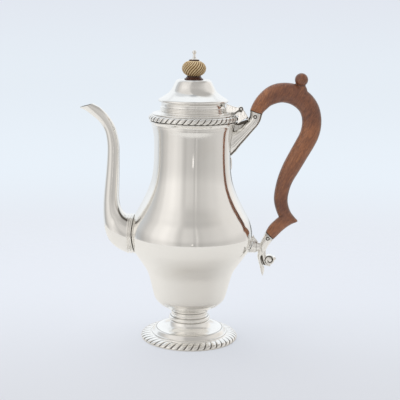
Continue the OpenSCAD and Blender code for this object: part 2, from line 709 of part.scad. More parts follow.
dome_outline = concat(
    [[band_r + 0.6, dome_z], [step_r - 0.1, dome_z + 0.3]],
    smooth([[step_r, dome_z + 0.9], [step_r - 0.5, dome_z + 0.10 * dome_h],
        [step_r - 3, dome_z + 0.18 * dome_h], [step_r - 7.3, dome_z + 0.31 * dome_h],
        [step_r - 10.8, dome_z + 0.45 * dome_h], [step_r - 12.8, dome_z + 0.60 * dome_h],
        [dome_top_r + 3.3, dome_z + 0.79 * dome_h],
        [dome_top_r + 1.7, dome_z + 0.93 * dome_h], [dome_top_r, top_z]], 3));

module lid_dome() {
    inside = [for (p = inset(dome_outline, wall)) [p[0], min(max(p[1], dome_z), top_z - wall)]];
    color(silver) turned(concat([[finial_hole_r, top_z]], reversed(dome_outline), inside,
        [[finial_hole_r, top_z - wall]]));
}

// ---- Finial ----

collar_z = top_z + seat;
knob_z = top_z + collar_h;
washer_z = knob_z + knob_h;
pin_top_z = washer_z + washer_h;
collar_r = 0.78 * knob_r;

module finial_collar() {
    color(dark_wood) turned(concat([[finial_hole_r, collar_z], [collar_r, collar_z]],
        smooth([[collar_r, collar_z + 0.15 * collar_h], [0.87 * collar_r, collar_z + 0.45 * collar_h],
            [0.76 * collar_r, collar_z + 0.75 * collar_h], [0.76 * collar_r, knob_z - seat]], 3),
        [[finial_hole_r, knob_z - seat]]));
}

// Turned knob: an ellipse with a slightly flattened side, cut off level at both ends
knob_end = 65;
knob_flat = 0.88;
module finial_knob() {
    steps = 18;
    color(bone) turned(concat([[finial_hole_r, knob_z]],
        [for (i = [0 : steps]) let (a = knob_end * (2 * i / steps - 1))
            [knob_r * pow(cos(a), knob_flat), knob_z + knob_h / 2 * (1 + sin(a) / sin(knob_end))]],
        [[finial_hole_r, knob_z + knob_h]]));
}

module finial_washer() {
    color(dark_wood) turned([[finial_hole_r, washer_z + seat], [4.4, washer_z + seat], [5, washer_z + 0.4],
        [5, washer_z + 0.8], [4.5, washer_z + washer_h], [finial_hole_r, washer_z + washer_h]]);
}

nut_r = 4.5;
nut_h = 3;
nut_z = top_z - wall - nut_h;

module finial_pin() {
    base = pin_top_z + seat;
    ball_r = 0.29 * pin_top_h;
    ball_z = base + pin_top_h - ball_r;
    stem = 0.9 * finial_pin_r;
    flare_r = 2.4 * finial_pin_r;
    color(silver) turned(concat(
        [[0, nut_z - 1], [finial_pin_r, nut_z - 1], [finial_pin_r, base], [flare_r, base]],
        smooth([[flare_r, base + 0.6], [1.4 * finial_pin_r, base + 0.2 * pin_top_h],
            [stem, base + 0.32 * pin_top_h],
            [0.85 * stem, ball_z - ball_r - 0.2]], 3),
        [for (a = [-60 : 15 : 90]) [ball_r * cos(a), ball_z + ball_r * sin(a)]]));
}

module finial_nut() {
    color(silver) turned([[finial_hole_r, nut_z], [nut_r - 0.5, nut_z], [nut_r, nut_z + 0.5],
        [nut_r, nut_z + nut_h - seat], [finial_hole_r, nut_z + nut_h - seat]]);
}

body_shell();
rim_collar();
lip_border();
foot_shell();
foot_border();
foot_wire();
spout_left();
spout_right();
spout_collar();
upper_socket();
upper_socket_drop();
lower_socket();
lower_socket_plate();
handle();
upper_rivet();
lower_rivet();
hinge_body_leaf();
hinge_pin();
lid_dome();
lid_band();
lid_flange();
lid_bezel();
hinge_lid_leaf();
finial_collar();
finial_knob();
finial_washer();
finial_pin();
finial_nut();
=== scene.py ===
"""Looks of the hinged-lid coffee pot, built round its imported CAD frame.

Shapes are worked out in millimetres and put into metres as each piece is finished.
"""

import math

import bmesh
import bpy
from mathutils import Matrix, Vector


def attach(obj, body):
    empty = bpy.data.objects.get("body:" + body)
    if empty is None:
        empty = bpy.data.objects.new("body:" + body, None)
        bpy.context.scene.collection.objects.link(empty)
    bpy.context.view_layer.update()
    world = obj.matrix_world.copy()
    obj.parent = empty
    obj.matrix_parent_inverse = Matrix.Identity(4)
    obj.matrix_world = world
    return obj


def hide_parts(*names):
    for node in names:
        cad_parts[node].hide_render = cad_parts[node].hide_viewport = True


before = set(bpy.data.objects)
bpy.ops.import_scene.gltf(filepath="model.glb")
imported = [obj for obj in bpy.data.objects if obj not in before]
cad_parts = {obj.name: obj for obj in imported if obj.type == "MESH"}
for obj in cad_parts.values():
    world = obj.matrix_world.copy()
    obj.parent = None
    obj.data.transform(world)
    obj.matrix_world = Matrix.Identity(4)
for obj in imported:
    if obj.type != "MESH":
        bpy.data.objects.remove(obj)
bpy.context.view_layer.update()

MM = 0.001
# Clearance of turned pieces that sit on each other, and of what is soldered to the body
SEAT = 0.02
ROOT_GAP = 0.1
# Thickness of the raised silver
WALL = 0.9

# ---- Main sizes ----

FOOT_H = 33.5
BODY_H = 186.0
BELLY_R = 59.4
NECK_R = 36.6
SEAT_R = 27.5
MOUTH_R = 38.6
MOUTH_Z = FOOT_H + BODY_H
MOUTH_WALL_Z = FOOT_H + 0.933 * BODY_H
BELLY_SHARE = 0.374
BELLY_Z = FOOT_H + BELLY_SHARE * BODY_H
# Holds the bulge of the smoothed outline inside the belly's radius
BELLY_TRIM = 0.998

STRAINER_HOLE_R = 1.3
STRAINER_PITCH = 5.2
STRAINER_RINGS = 3

FOOT_R = 47.3
STEM_R = 17.2
FOOT_WIRE_H = 1.2
FOOT_TOP_Z = 5.4
FOOT_IN_R = FOOT_R - 8.9

LIP_H = 6.0
LIP_W = 3.8
COVE_H = 5.5
LIP_LOBES = 44
FOOT_LOBES = 46
LOBE_DEPTH = 0.75
# Depth of the cut between lobes, and how flat the lobes are beside it
LOBE_CUT = 1.5 * LOBE_DEPTH
LOBE_FLATNESS = 0.52

BAND_R = 31.2
BAND_IN_R = BAND_R - 1.3
STEP_R = 33.2
BAND_H = 9.0
DOME_H = 20.8
DOME_TOP_R = 15.2
FLANGE_Z = MOUTH_Z + 0.2
BAND_Z = FLANGE_Z + 3
DOME_Z = BAND_Z + BAND_H
TOP_Z = DOME_Z + DOME_H

PIN_R = 1.5
BORE_R = PIN_R + 0.05
KNOB_R = 11.5
KNOB_H = 14.2
KNOB_COLLAR_H = 3.2
KNOB_Z = TOP_Z + KNOB_COLLAR_H
WASHER_Z = KNOB_Z + KNOB_H
PIN_TOP_Z = WASHER_Z + 1.2
PIN_TOP_H = 8.9

# Places in the pot's middle plane are (x, z)
HINGE = (45.0, 226.3)
BARREL_R = 2.1
BARREL_HALF = 7.5
KNUCKLE_HALF = 3.2

UPPER_JOINT = (NECK_R + 23.2, MOUTH_Z + 3.5)
LOWER_JOINT = (BELLY_R + 17.2, BELLY_Z + 0.5)


# ---- Curves ----

def curve_at(p0, p1, p2, p3, t):
    """Point at share t of the smooth curve from p1 to p2."""
    return tuple(
        0.5 * (
            2 * b + (c - a) * t + (2 * a - 5 * b + 4 * c - d) * t ** 2
            + (3 * b - a - 3 * c + d) * t ** 3
        )
        for a, b, c, d in zip(p0, p1, p2, p3)
    )


def smooth(stations, steps):
    """Smooth curve through the stations."""
    held = [stations[0], *stations, stations[-1]]
    points = [
        curve_at(*held[i:i + 4], j / steps)
        for i in range(len(stations) - 1)
        for j in range(steps)
    ]
    return points + [tuple(stations[-1])]


def ease(t):
    """0 to 1, with a soft start and end."""
    t = min(1.0, max(0.0, t))
    return t * t * (3 - 2 * t)


def mirrored(side):
    """Outline of (radius, height) that ends at its rim, carried on as its reflection in height 0."""
    return side + [(a, -b) for a, b in side[::-1]]


def placed(outline, x, z):
    """Outline moved to a place."""
    return [(x + dx, z + dz) for dx, dz in outline]


def rounded(outline, radius):
    """Outline whose corners are eased, where they turn by more than 15 degrees."""
    steps = 3
    points = [Vector(p) for p in outline]
    eased = [points[0]]
    for before, at, after in zip(points, points[1:], points[2:]):
        to_before, to_after = before - at, after - at
        if to_before.length < 1e-6 or to_after.length < 1e-6:
            continue
        if to_before.angle(to_after) > math.radians(165):
            eased.append(at)
            continue
        reach = min(radius, 0.42 * to_before.length, 0.42 * to_after.length)
        first = at + to_before.normalized() * reach
        last = at + to_after.normalized() * reach
        for i in range(steps + 1):
            t = i / steps
            eased.append(first * (1 - t) ** 2 + at * (2 * t * (1 - t)) + last * t * t)
    return [tuple(p) for p in eased + [points[-1]]]


def inset(outline, distance):
    """Outline moved towards the axis along its normals."""
    last = len(outline) - 1
    moved = []
    for i, (r, z) in enumerate(outline):
        step = Vector(outline[min(i + 1, last)]) - Vector(outline[max(i - 1, 0)])
        step.normalize()
        moved.append((r - distance * step.y, z + distance * step.x))
    return moved


def look_up(table, z):
    """Value at height z in a table of (value, height) that rises."""
    if z <= table[0][1]:
        return table[0][0]
    for (r0, z0), (r1, z1) in zip(table, table[1:]):
        if z <= z1:
            return r0 + (r1 - r0) * (z - z0) / (z1 - z0) if z1 > z0 else r1
    return table[-1][0]


def body_point(share, swell):
    """Place on the body's outside, by the share of its height and of the belly's swell."""
    return (NECK_R + BELLY_TRIM * swell * (BELLY_R - NECK_R), FOOT_H + share * BODY_H)


BODY_OUTLINE = smooth(
    [(SEAT_R, FOOT_H)]
    + [
        body_point(share, swell)
        for share, swell in (
            (0.018, -0.23), (0.040, -0.10), (0.083, 0), (0.126, 0.09), (0.180, 0.23), (0.228, 0.47),
            (0.272, 0.72), (0.315, 0.90), (BELLY_SHARE, 1), (0.417, 0.97), (0.460, 0.85), (0.508, 0.64),
            (0.562, 0.41), (0.616, 0.22), (0.669, 0.09), (0.734, 0.02), (0.815, 0), (0.884, 0.02),
        )
    ]
    + [(MOUTH_R, MOUTH_WALL_Z)],
    8,
) + [(MOUTH_R, MOUTH_Z)]


def body_r(z):
    return look_up(BODY_OUTLINE, z)


def body_x(z, y, out):
    """Distance from the axis, along X, of a place that stands out from the body."""
    return math.sqrt((body_r(z) + out) ** 2 - y * y)


# ---- Shells ----

def tidy(bm):
    """Seams and poles closed, and faces turned outwards."""
    bmesh.ops.remove_doubles(bm, verts=bm.verts, dist=0.002)
    bmesh.ops.dissolve_degenerate(bm, edges=bm.edges, dist=0.0005)
    bmesh.ops.recalc_face_normals(bm, faces=bm.faces)
    return bm


def turned(outline, steps=160, closed=False):
    """Outline of (radius, height) turned round Z."""
    bm = bmesh.new()
    verts = [bm.verts.new((r, 0, z)) for r, z in outline]
    pairs = list(zip(verts, verts[1:])) + ([(verts[-1], verts[0])] if closed else [])
    edges = [bm.edges.new(pair) for pair in pairs]
    bmesh.ops.spin(
        bm, geom=verts + edges, cent=(0, 0, 0), axis=(0, 0, 1), angle=math.tau, steps=steps, use_merge=True
    )
    return tidy(bm)


def rib_ring(bm, rib, sides, grow=0.0, section=None, cap=False, shade=None):
    """Ring of edges round a rib (x and z of one edge, x and z of the other, half width).

    By the angle, a section gives the place as shares of the rib's half sizes, and a shade
    gives how much painted shade and grime darken it.
    """
    recess = bm.verts.layers.float.get("recess")
    x0, z0, x1, z1, width = rib
    mid = Vector(((x0 + x1) / 2, 0, (z0 + z1) / 2))
    half = Vector(((x0 - x1) / 2, 0, (z0 - z1) / 2))
    half = half * (1 + grow / half.length)
    made = bmesh.ops.create_circle(bm, cap_ends=cap, radius=1, segments=sides)["verts"]
    for v in made:
        angle = math.atan2(v.co.y, v.co.x)
        a, b = section(angle) if section else (math.cos(angle), math.sin(angle))
        v.co = mid + half * a + Vector((0, (width + grow) * b, 0))
        if shade:
            v[recess] = shade(angle)
    return list({e for v in made for e in v.link_edges})


def bridged(bm, rings):
    """Skin between each ring and the next."""
    for first, second in zip(rings, rings[1:]):
        bmesh.ops.bridge_loops(bm, edges=first + second)


def ring_verts(ring):
    return list({v for e in ring for v in e.verts})


def loft(bm, ribs, sides):
    """Closed skin round ribs."""
    last = len(ribs) - 1
    bridged(bm, [rib_ring(bm, rib, sides, cap=i in (0, last)) for i, rib in enumerate(ribs)])


def rib_mid(rib):
    return Vector(((rib[0] + rib[2]) / 2, (rib[1] + rib[3]) / 2))


def fitted(ribs, start, end, bow=None):
    """Ribs moved so that their first middle lies on start and their last on end.

    A bow is their scale along X, which otherwise follows from the two ends.
    """
    first = rib_mid(ribs[0])
    reach = rib_mid(ribs[-1]) - first
    kx = (end[0] - start[0]) / reach.x if bow is None else bow
    kz = (end[1] - start[1]) / reach.y
    lean = end[0] - start[0] - kx * reach.x
    moved = []
    for x0, z0, x1, z1, width in ribs:
        s0, s1 = (z0 - first.y) / reach.y, (z1 - first.y) / reach.y
        moved.append((
            start[0] + kx * (x0 - first.x) + lean * s0, start[1] + kz * (z0 - first.y),
            start[0] + kx * (x1 - first.x) + lean * s1, start[1] + kz * (z1 - first.y), width,
        ))
    return moved


def slab(bm, outline, low_y, high_y):
    """Plate cut to an outline in the XZ plane."""
    face = bm.faces.new([bm.verts.new((x, low_y, z)) for x, z in outline])
    raised = bmesh.ops.extrude_face_region(bm, geom=[face])["geom"]
    far = [g for g in raised if isinstance(g, bmesh.types.BMVert)]
    bmesh.ops.translate(bm, verts=far, vec=(0, high_y - low_y, 0))
    return bm


def eased_edges(bm, size, segments, sharper):
    """Edges that turn by more than an angle in degrees are bevelled."""
    edges = [
        e for e in bm.edges
        if len(e.link_faces) == 2 and e.calc_face_angle(0) > math.radians(sharper)
    ]
    bmesh.ops.bevel(
        bm, geom=edges, offset=size, offset_type="OFFSET", segments=segments, profile=0.5,
        affect="EDGES", material=-1, clamp_overlap=True,
    )


def laid(bm, matrix):
    bmesh.ops.transform(bm, matrix=matrix, verts=bm.verts)
    return bm


def across(x, z):
    """Turned piece laid along Y, with its axis through a place in the XZ plane."""
    return Matrix.Translation((x, 0, z)) @ Matrix.Rotation(math.radians(90), 4, "X")


def joined(*shells):
    """Several shells put into the first."""
    bm = shells[0]
    for other in shells[1:]:
        mesh = bpy.data.meshes.new("shell")
        other.to_mesh(mesh)
        other.free()
        bm.from_mesh(mesh)
        bpy.data.meshes.remove(mesh)
    return bm


def worked(bm, kind, settings, tool=None):
    """Shell after a modifier; tool is the shell that a cut uses."""
    made = []
    for name, shell in (("work", bm), ("tool", tool)):
        if shell is None:
            continue
        mesh = bpy.data.meshes.new(name)
        shell.to_mesh(mesh)
        shell.free()
        obj = bpy.data.objects.new(name, mesh)
        bpy.context.scene.collection.objects.link(obj)
        made.append(obj)
    modifier = made[0].modifiers.new(kind, kind)
    for key, value in settings.items():
        setattr(modifier, key, value)
    if tool is not None:
        modifier.object = made[1]
    graph = bpy.context.evaluated_depsgraph_get()
    result = bpy.data.meshes.new_from_object(made[0].evaluated_get(graph))
    bm = bmesh.new()
    bm.from_mesh(result)
    bpy.data.meshes.remove(result)
    for obj in made:
        mesh = obj.data
        bpy.data.objects.remove(obj)
        bpy.data.meshes.remove(mesh)
    return bm


def fused(bm, voxel, rounds):
    """Overlapping shells made one cast skin, softened where they meet."""
    bm = worked(bm, "REMESH", {"mode": "VOXEL", "voxel_size": voxel})
    for _ in range(rounds):
        bmesh.ops.smooth_vert(
            bm, verts=bm.verts, factor=0.5, use_axis_x=True, use_axis_y=True, use_axis_z=True
        )
    return bm


def shade_where(bm, shade):
    """Painted shade and grime given to each vertex by a function of its place."""
    recess = bm.verts.layers.float.get("recess") or bm.verts.layers.float.new("recess")
    for v in bm.verts:
        v[recess] = min(1.0, max(0.0, shade(v.co)))
    return bm


def notch(angle, at, width):
    """1 on a line along each side of a lofted piece, at an angle round it, falling to 0 beside it."""
    return math.exp(-((abs(angle) - at) / width) ** 2)


def line_shade(p, line, width):
    """1 on a broken line in the XZ plane, falling to 0 beside it."""
    near = math.inf
    for (x0, z0), (x1, z1) in zip(line, line[1:]):
        along = Vector((x1 - x0, z1 - z0))
        reach = Vector((p.x - x0, p.z - z0))
        t = min(1.0, max(0.0, (reach @ along) / along.length_squared))
        near = min(near, (reach - along * t).length)
    return math.exp(-(near / width) ** 2)


def ring_shade(p, centre, radius, width):
    """1 on a ring in the XZ plane, falling to 0 beside it."""
    return math.exp(-((math.hypot(p.x - centre[0], p.z - centre[1]) - radius) / width) ** 2)


def creases(bm, places, width):
    """Turned piece darkened with painted shade at the given places of its outline."""
    def shade(p):
        r = math.hypot(p.x, p.y)
        near = min((r - place_r) ** 2 + (p.z - place_z) ** 2 for place_r, place_z in places)
        return 0.7 * math.exp(-near / width ** 2)
    return shade_where(bm, shade)


def piece(name, bm, body, finish, nodes, sharp=45):
    """Finished piece that rides on a body and stands for its CAD nodes.

    Edges that turn by more than the sharp angle in degrees stay crisp.
    """
    material, slot = finish
    bmesh.ops.scale(bm, vec=(MM, MM, MM), verts=bm.verts)
    mesh = bpy.data.meshes.new(name)
    bm.to_mesh(mesh)
    bm.free()
    mesh.shade_smooth()
    mesh.set_sharp_from_angle(angle=math.radians(sharp))
    mesh.materials.append(material)
    obj = bpy.data.objects.new(name, mesh)
    bpy.context.scene.collection.objects.link(obj)
    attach(obj, body)
    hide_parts(*nodes)


# ---- Finishes ----

class Value:
    """A node's output that takes part in sums, each of which adds a Math node."""

    def __init__(self, tree, socket):
        self.tree = tree
        self.socket = socket

    def sum_with(self, operation, first, second=0.0):
        return self.tree.node("ShaderNodeMath", {"operation": operation}, {0: first, 1: second})

    def __add__(self, other):
        return self.sum_with("ADD", self, other)

    def __sub__(self, other):
        return self.sum_with("SUBTRACT", self, other)

    def __rsub__(self, other):
        return self.sum_with("SUBTRACT", other, self)

    def __mul__(self, other):
        return self.sum_with("MULTIPLY", self, other)

    def __truediv__(self, other):
        return self.sum_with("DIVIDE", self, other)

    def __rtruediv__(self, other):
        return self.sum_with("DIVIDE", other, self)

    def __abs__(self):
        return self.sum_with("ABSOLUTE", self)

    __radd__ = __add__
    __rmul__ = __mul__


class Tree:
    """Nodes of one material or world."""

    def __init__(self, owner):
        owner.use_nodes = True
        self.nodes = owner.node_tree.nodes
        self.links = owner.node_tree.links
        self.nodes.clear()

    def node(self, kind, settings, inputs, output=0):
        """One node, by its type, its settings or ramp stops, and its sockets' values or links."""
        made = self.nodes.new(kind)
        for key, value in settings.items():
            if key == "stops":
                made.color_ramp.interpolation = "EASE"
                stops = made.color_ramp.elements
                for place, colour in value[len(stops):]:
                    stops.new(place)
                for stop, (place, colour) in zip(stops, value):
                    stop.position = place
                    stop.color = (*colour, 1)
            else:
                setattr(made, key, value)
        for key, value in inputs.items():
            if isinstance(value, Value):
                self.links.new(value.socket, made.inputs[key])
            else:
                made.inputs[key].default_value = value
        return Value(self, made.outputs[output]) if made.outputs else None

    def place(self):
        return self.node("ShaderNodeTexCoord", {}, {}, "Object")

    def parts(self, vector):
        """The x, y and z of a vector."""
        return [self.node("ShaderNodeSeparateXYZ", {}, {0: vector}, axis) for axis in "XYZ"]

    def stops(self, value, stops):
        """Colour by a value from 0 to 1, given as (value, colour) stops with soft steps between."""
        return self.node("ShaderNodeValToRGB", {"stops": stops}, {"Fac": value})

    def levels(self, value, stops):
        """Grey by a value from 0 to 1, given as (value, level) stops."""
        return self.stops(value, [(at, (level, level, level)) for at, level in stops])

    def stretched(self, place, scale, turn=(0, 0, 0)):
        """Place turned first and scaled after, so that the streaks lie on the turn."""
        turned_place = self.node("ShaderNodeMapping", {}, {"Vector": place, "Rotation": turn})
        return self.node("ShaderNodeMapping", {}, {"Vector": turned_place, "Scale": scale})

    def noise(self, place, scale, detail=2.0, rough=0.5, warp=0.0):
        return self.node(
            "ShaderNodeTexNoise", {},
            {"Vector": place, "Scale": scale, "Detail": detail, "Roughness": rough, "Distortion": warp},
        )

    def ramp(self, value, low, high, to_low=0.0, to_high=1.0):
        """Value from low to high brought to another range, with soft ends."""
        return self.node(
            "ShaderNodeMapRange", {"interpolation_type": "SMOOTHSTEP"},
            {"Value": value, "From Min": low, "From Max": high, "To Min": to_low, "To Max": to_high},
        )

    def mix(self, share, first, second):
        return self.node(
            "ShaderNodeMix", {"data_type": "RGBA"},
            {
                0: share,
                6: first if isinstance(first, Value) else (*first, 1),
                7: second if isinstance(second, Value) else (*second, 1),
            },
            2,
        )

    def attribute(self, name):
        return self.node("ShaderNodeAttribute", {"attribute_name": name}, {}, "Fac")

    def bump(self, height, strength, distance, below=None):
        inputs = {"Height": height, "Strength": strength, "Distance": distance}
        if below:
            inputs["Normal"] = below
        return self.node("ShaderNodeBump", {}, inputs)

    def surface(self, **sockets):
        shader = self.node(
            "ShaderNodeBsdfPrincipled", {},
            {key.replace("_", " "): value for key, value in sockets.items()},
        )
        self.node("ShaderNodeOutputMaterial", {}, {"Surface": shader})


def new_finish(name):
    """New material, its nodes, and the place on the piece that its patterns follow."""
    material = bpy.data.materials.new(name)
    tree = Tree(material)
    return material, tree, tree.place()


# Clean silver, the thin film on it, and the dark colour painted into creases, grooves and joints as shade,
# with tarnish
SILVER_CLEAN = (0.94, 0.93, 0.905)
SILVER_FILM = (0.78, 0.74, 0.67)
TARNISH_AND_SHADE = (0.075, 0.062, 0.046)


def silver_finish(name, polish, wear):
    """Old polished silver: soft dents left by the hammer, hair scratches, and painted shade with tarnish in
    creases, grooves and joints.
    """
    material, tree, place = new_finish(name)
    cloud = tree.noise(place, 26, 3)
    hairs = tree.noise(tree.stretched(place, (900, 900, 120), (0.3, 0.2, 0.4)), 1, 3, 0.6)
    specks = tree.noise(place, 1400, 2)
    recess = tree.attribute("recess")
    skin = tree.mix(tree.ramp(cloud, 0.52, 0.78, 0.0, 0.22), SILVER_CLEAN, SILVER_FILM)
    # Painted shade, with tarnish, in creases, grooves and joints
    colour = tree.mix(tree.ramp(recess, 0.08, 0.9, 0.0, 0.95), skin, TARNISH_AND_SHADE)
    rough = polish + tree.ramp(hairs, 0.4, 0.75, 0.0, wear) + tree.ramp(cloud, 0.35, 0.7, 0.0, 0.03)
    dents = tree.bump(tree.noise(place, 34, 1), 0.10, 0.0015)
    fine = tree.bump(hairs * 0.7 + specks * 0.3, 0.03, 0.0001, dents)
    tree.surface(Base_Color=colour, Metallic=1.0, Roughness=rough + recess * 0.2, Normal=fine)
    return material


# The handle's foot and length in metres, and how pale the wood is at shares of the way up it
HANDLE_FOOT = 0.09
HANDLE_LENGTH = 0.19
WOOD_TONES = (
    (0.10, 0.7), (0.14, 0.75), (0.18, 0.5), (0.23, 0.15), (0.32, 0.35), (0.45, 0.8), (0.61, 0.85),
    (0.69, 0.3), (0.79, 0.15),
)
# The wood at its darkest and palest, its paler and darker blotches, its grain and pores,
# and the painted shade on its edges and in its creases
WOOD_DARK = (0.172, 0.066, 0.044)
WOOD_PALE = (0.490, 0.196, 0.084)
PALE_BLOTCH = (0.66, 0.285, 0.110)
DARK_BLOTCH = (0.115, 0.050, 0.038)
GRAIN = (0.085, 0.036, 0.025)
PORES = (0.045, 0.018, 0.013)
WOOD_SHADE = (0.040, 0.016, 0.012)


def handle_wood():
    """Fruitwood, oiled: its paleness changes along its height, with painted light near the pot, slanting
    grain, dark pores, and painted shade on its edges and under the thumb ball.
    """
    material, tree, place = new_finish("handle_wood")
    broad = tree.noise(place, 36, 3, 0.55, 0.6)
    blotch = tree.noise(tree.stretched(place, (130, 130, 420), (0, 1.05, 0)), 1, 4, 0.55, 1.0)
    streaks = tree.noise(tree.stretched(place, (190, 190, 1300), (0, 1.1, 0)), 1, 4, 0.6, 0.6)
    pores = tree.noise(tree.stretched(place, (600, 600, 3200), (0, 1.1, 0)), 1, 2)
    recess = tree.attribute("recess")
    x, _, z = tree.parts(place)
    # Paler by height along the handle and at random, with painted light where it is near the pot
    pale_and_lit = tree.levels((z - HANDLE_FOOT) / HANDLE_LENGTH, WOOD_TONES) * 0.65
    pale_and_lit = pale_and_lit + tree.ramp(x, 0.060, 0.080, 0.6, 0.0) + tree.ramp(broad, 0.34, 0.66, 0.0, 0.35)
    base = tree.mix(pale_and_lit, WOOD_DARK, WOOD_PALE)
    lit = tree.mix(tree.ramp(blotch, 0.5, 0.75, 0.0, 0.35), base, PALE_BLOTCH)
    shaded = tree.mix(tree.ramp(blotch, 0.28, 0.48, 0.4, 0.0), lit, DARK_BLOTCH)
    grained = tree.mix(tree.ramp(streaks, 0.45, 0.62, 0.0, 0.45), shaded, GRAIN)
    pored = tree.mix(tree.ramp(pores, 0.60, 0.70, 0.0, 0.6), grained, PORES)
    # Painted shade on the wood's edges and under the thumb ball
    colour = tree.mix(recess * 0.8, pored, WOOD_SHADE)
    rough = tree.ramp(streaks, 0.3, 0.8, 0.30, 0.46) + tree.ramp(blotch, 0.4, 0.8, 0.0, 0.06)
    skin = tree.bump(streaks * 0.6 + pores * 0.4, 0.22, 0.0004)
    tree.surface(Base_Color=colour, Roughness=rough, Coat_Weight=0.22, Coat_Roughness=0.22, Normal=skin)
    return material


def carved_bone():
    """Carved bone gone golden, darker in the cuts with wax and dirt and with painted shade."""
    material, tree, place = new_finish("carved_bone")
    cloud = tree.noise(place, 180, 3)
    fine = tree.noise(place, 1500, 2)
    recess = tree.attribute("recess")
    golden, pale = (0.66, 0.50, 0.27), (0.80, 0.66, 0.41)
    wax_and_shade, dirt_and_shade = (0.40, 0.235, 0.085), (0.11, 0.050, 0.020)
    base = tree.mix(tree.ramp(cloud, 0.35, 0.65), golden, pale)
    # Painted shade, with wax and dirt, in the cuts
    waxed_and_shaded = tree.mix(tree.ramp(recess, 0.05, 0.55), base, wax_and_shade)
    colour = tree.mix(tree.ramp(recess, 0.5, 0.95), waxed_and_shaded, dirt_and_shade)
    skin = tree.bump(fine, 0.15, 0.0002)
    tree.surface(Base_Color=colour, Roughness=tree.ramp(cloud, 0.3, 0.7, 0.34, 0.46), Normal=skin)
    return material


def dark_wood():
    """Turned dark wood with a waxed skin."""
    material, tree, place = new_finish("dark_wood")
    rings = tree.noise(tree.stretched(place, (500, 500, 2600)), 1, 3)
    colour = tree.mix(tree.ramp(rings, 0.35, 0.7), (0.050, 0.020, 0.015), (0.115, 0.045, 0.030))
    skin = tree.bump(rings, 0.1, 0.0002)
    tree.surface(Base_Color=colour, Roughness=tree.ramp(rings, 0.3, 0.7, 0.28, 0.42), Normal=skin)
    return material


# Each finish, paired with a slot name
SILVER = (silver_finish("silver", 0.075, 0.06), "silver")
CAST_SILVER = (silver_finish("cast_silver", 0.09, 0.07), "silver")
WOOD = (handle_wood(), "handle_wood")
BONE = (carved_bone(), "carved_bone")
DARK_WOOD = (dark_wood(), "dark_wood")


# ---- Body and its rims ----

def strainer_holes():
    """Bars that cut the strainer behind the spout, in rings round a middle hole."""
    bm = bmesh.new()
    for ring in range(STRAINER_RINGS):
        count = max(1, 6 * ring)
        reach = STRAINER_PITCH * ring
        for k in range(count):
            turn = math.tau * k / count
            place = Matrix.Translation(
                (-BELLY_R + 2, reach * math.sin(turn), BELLY_Z + reach * math.cos(turn))
            )
            bmesh.ops.create_cone(
                bm, cap_ends=True, segments=20, radius1=STRAINER_HOLE_R, radius2=STRAINER_HOLE_R,
                depth=8, matrix=place @ Matrix.Rotation(math.radians(90), 4, "Y"),
            )
    return bm


def make_body():
    floor_z = FOOT_H + WALL
    inside = [(r, min(max(z, floor_z), MOUTH_Z)) for r, z in inset(BODY_OUTLINE, WALL)]
    outline = [(0, FOOT_H)] + rounded(BODY_OUTLINE + inside[::-1], 0.3) + [(0, floor_z)]
    cut = {"operation": "DIFFERENCE", "solver": "EXACT"}
    bm = worked(turned(outline, 192), "BOOLEAN", cut, tool=strainer_holes())
    piece("body", bm, "pot", SILVER, ["body_shell"])


def make_rim_collar():
    cove_z = MOUTH_Z - LIP_H - COVE_H
    in_r = MOUTH_R + SEAT
    out_r = MOUTH_R + LIP_W - 0.9
    top_z = MOUTH_Z - LIP_H - SEAT
    face = [(in_r + 0.8, cove_z), (in_r + 0.8, cove_z + 0.7)] + smooth(
        [(in_r + 0.5, cove_z + 1), (in_r + 0.9, cove_z + 2.6), (out_r, top_z - 0.9)], 6
    )
    outline = rounded([(in_r, cove_z)] + face + [(out_r, top_z), (in_r, top_z)], 0.25)
    piece("rim_moulding", turned(outline, 160, closed=True), "pot", SILVER, ["rim_collar"])


def gadroon(in_r, out_r, z0, z1, mid_z, end, lobes, slant):
    """Ring of slanting round lobes, whose creases carry painted shade with tarnish.

    The section is an arc about mid_z, from straight down to the end angle. On its way up the
    arc each lobe leans round by the slant, where 360 degrees is the width of one lobe.
    """
    face_steps, lobe_steps = 18, 14
    a0, a1 = math.radians(-90), math.radians(end)
    low, high, width = mid_z - z0, z1 - mid_z, out_r - in_r
    arc = [a0 + (a1 - a0) * i / face_steps for i in range(face_steps + 1)]
    outline = [(in_r, z0)] + [
        (in_r + width * math.cos(a), mid_z + (low if a < 0 else high) * math.sin(a)) for a in arc
    ] + [(in_r, z1 - LOBE_DEPTH)]
    bm = turned(outline, lobes * lobe_steps, closed=True)
    recess = bm.verts.layers.float.new("recess")
    for v in bm.verts:
        r = math.hypot(v.co.x, v.co.y)
        c = (r - in_r) / width
        s = (v.co.z - mid_z) / (low if v.co.z < mid_z else high)
        off_arc = abs(math.hypot(c, s) - 1) > 0.01
        if off_arc:
            continue
        f = (math.atan2(s, c) - a0) / (a1 - a0)
        turn = math.atan2(v.co.y, v.co.x)
        phase = (lobes * turn + math.radians(slant) * f) / math.tau
        side = 2 * (phase - math.floor(phase)) - 1
        fade = max(0.0, math.sin(math.pi * (f + 0.05) / 1.1)) ** 0.6
        dip = LOBE_CUT * (1 - max(0.0, 1 - side * side) ** LOBE_FLATNESS) * fade
        k = 1 - dip / max(width * abs(c) + high * abs(s), 1.0)
        new_r = in_r + width * c * k
        v.co.x, v.co.y = v.co.x * new_r / r, v.co.y * new_r / r
        v.co.z = mid_z + (v.co.z - mid_z) * k
        # Painted shade, with tarnish, in the creases between lobes
        v[recess] = ease((abs(side) - 0.60) / 0.34) * fade
    return bm


def make_lip_border():
    z0 = MOUTH_Z - LIP_H
    mid_z = z0 + 0.4 * LIP_H
    bm = gadroon(MOUTH_R + SEAT, MOUTH_R + LIP_W, z0, MOUTH_Z, mid_z, 75, LIP_LOBES, -430)
    piece("lip_gadroon", bm, "pot", CAST_SILVER, ["lip_border"])


# ---- Foot ----

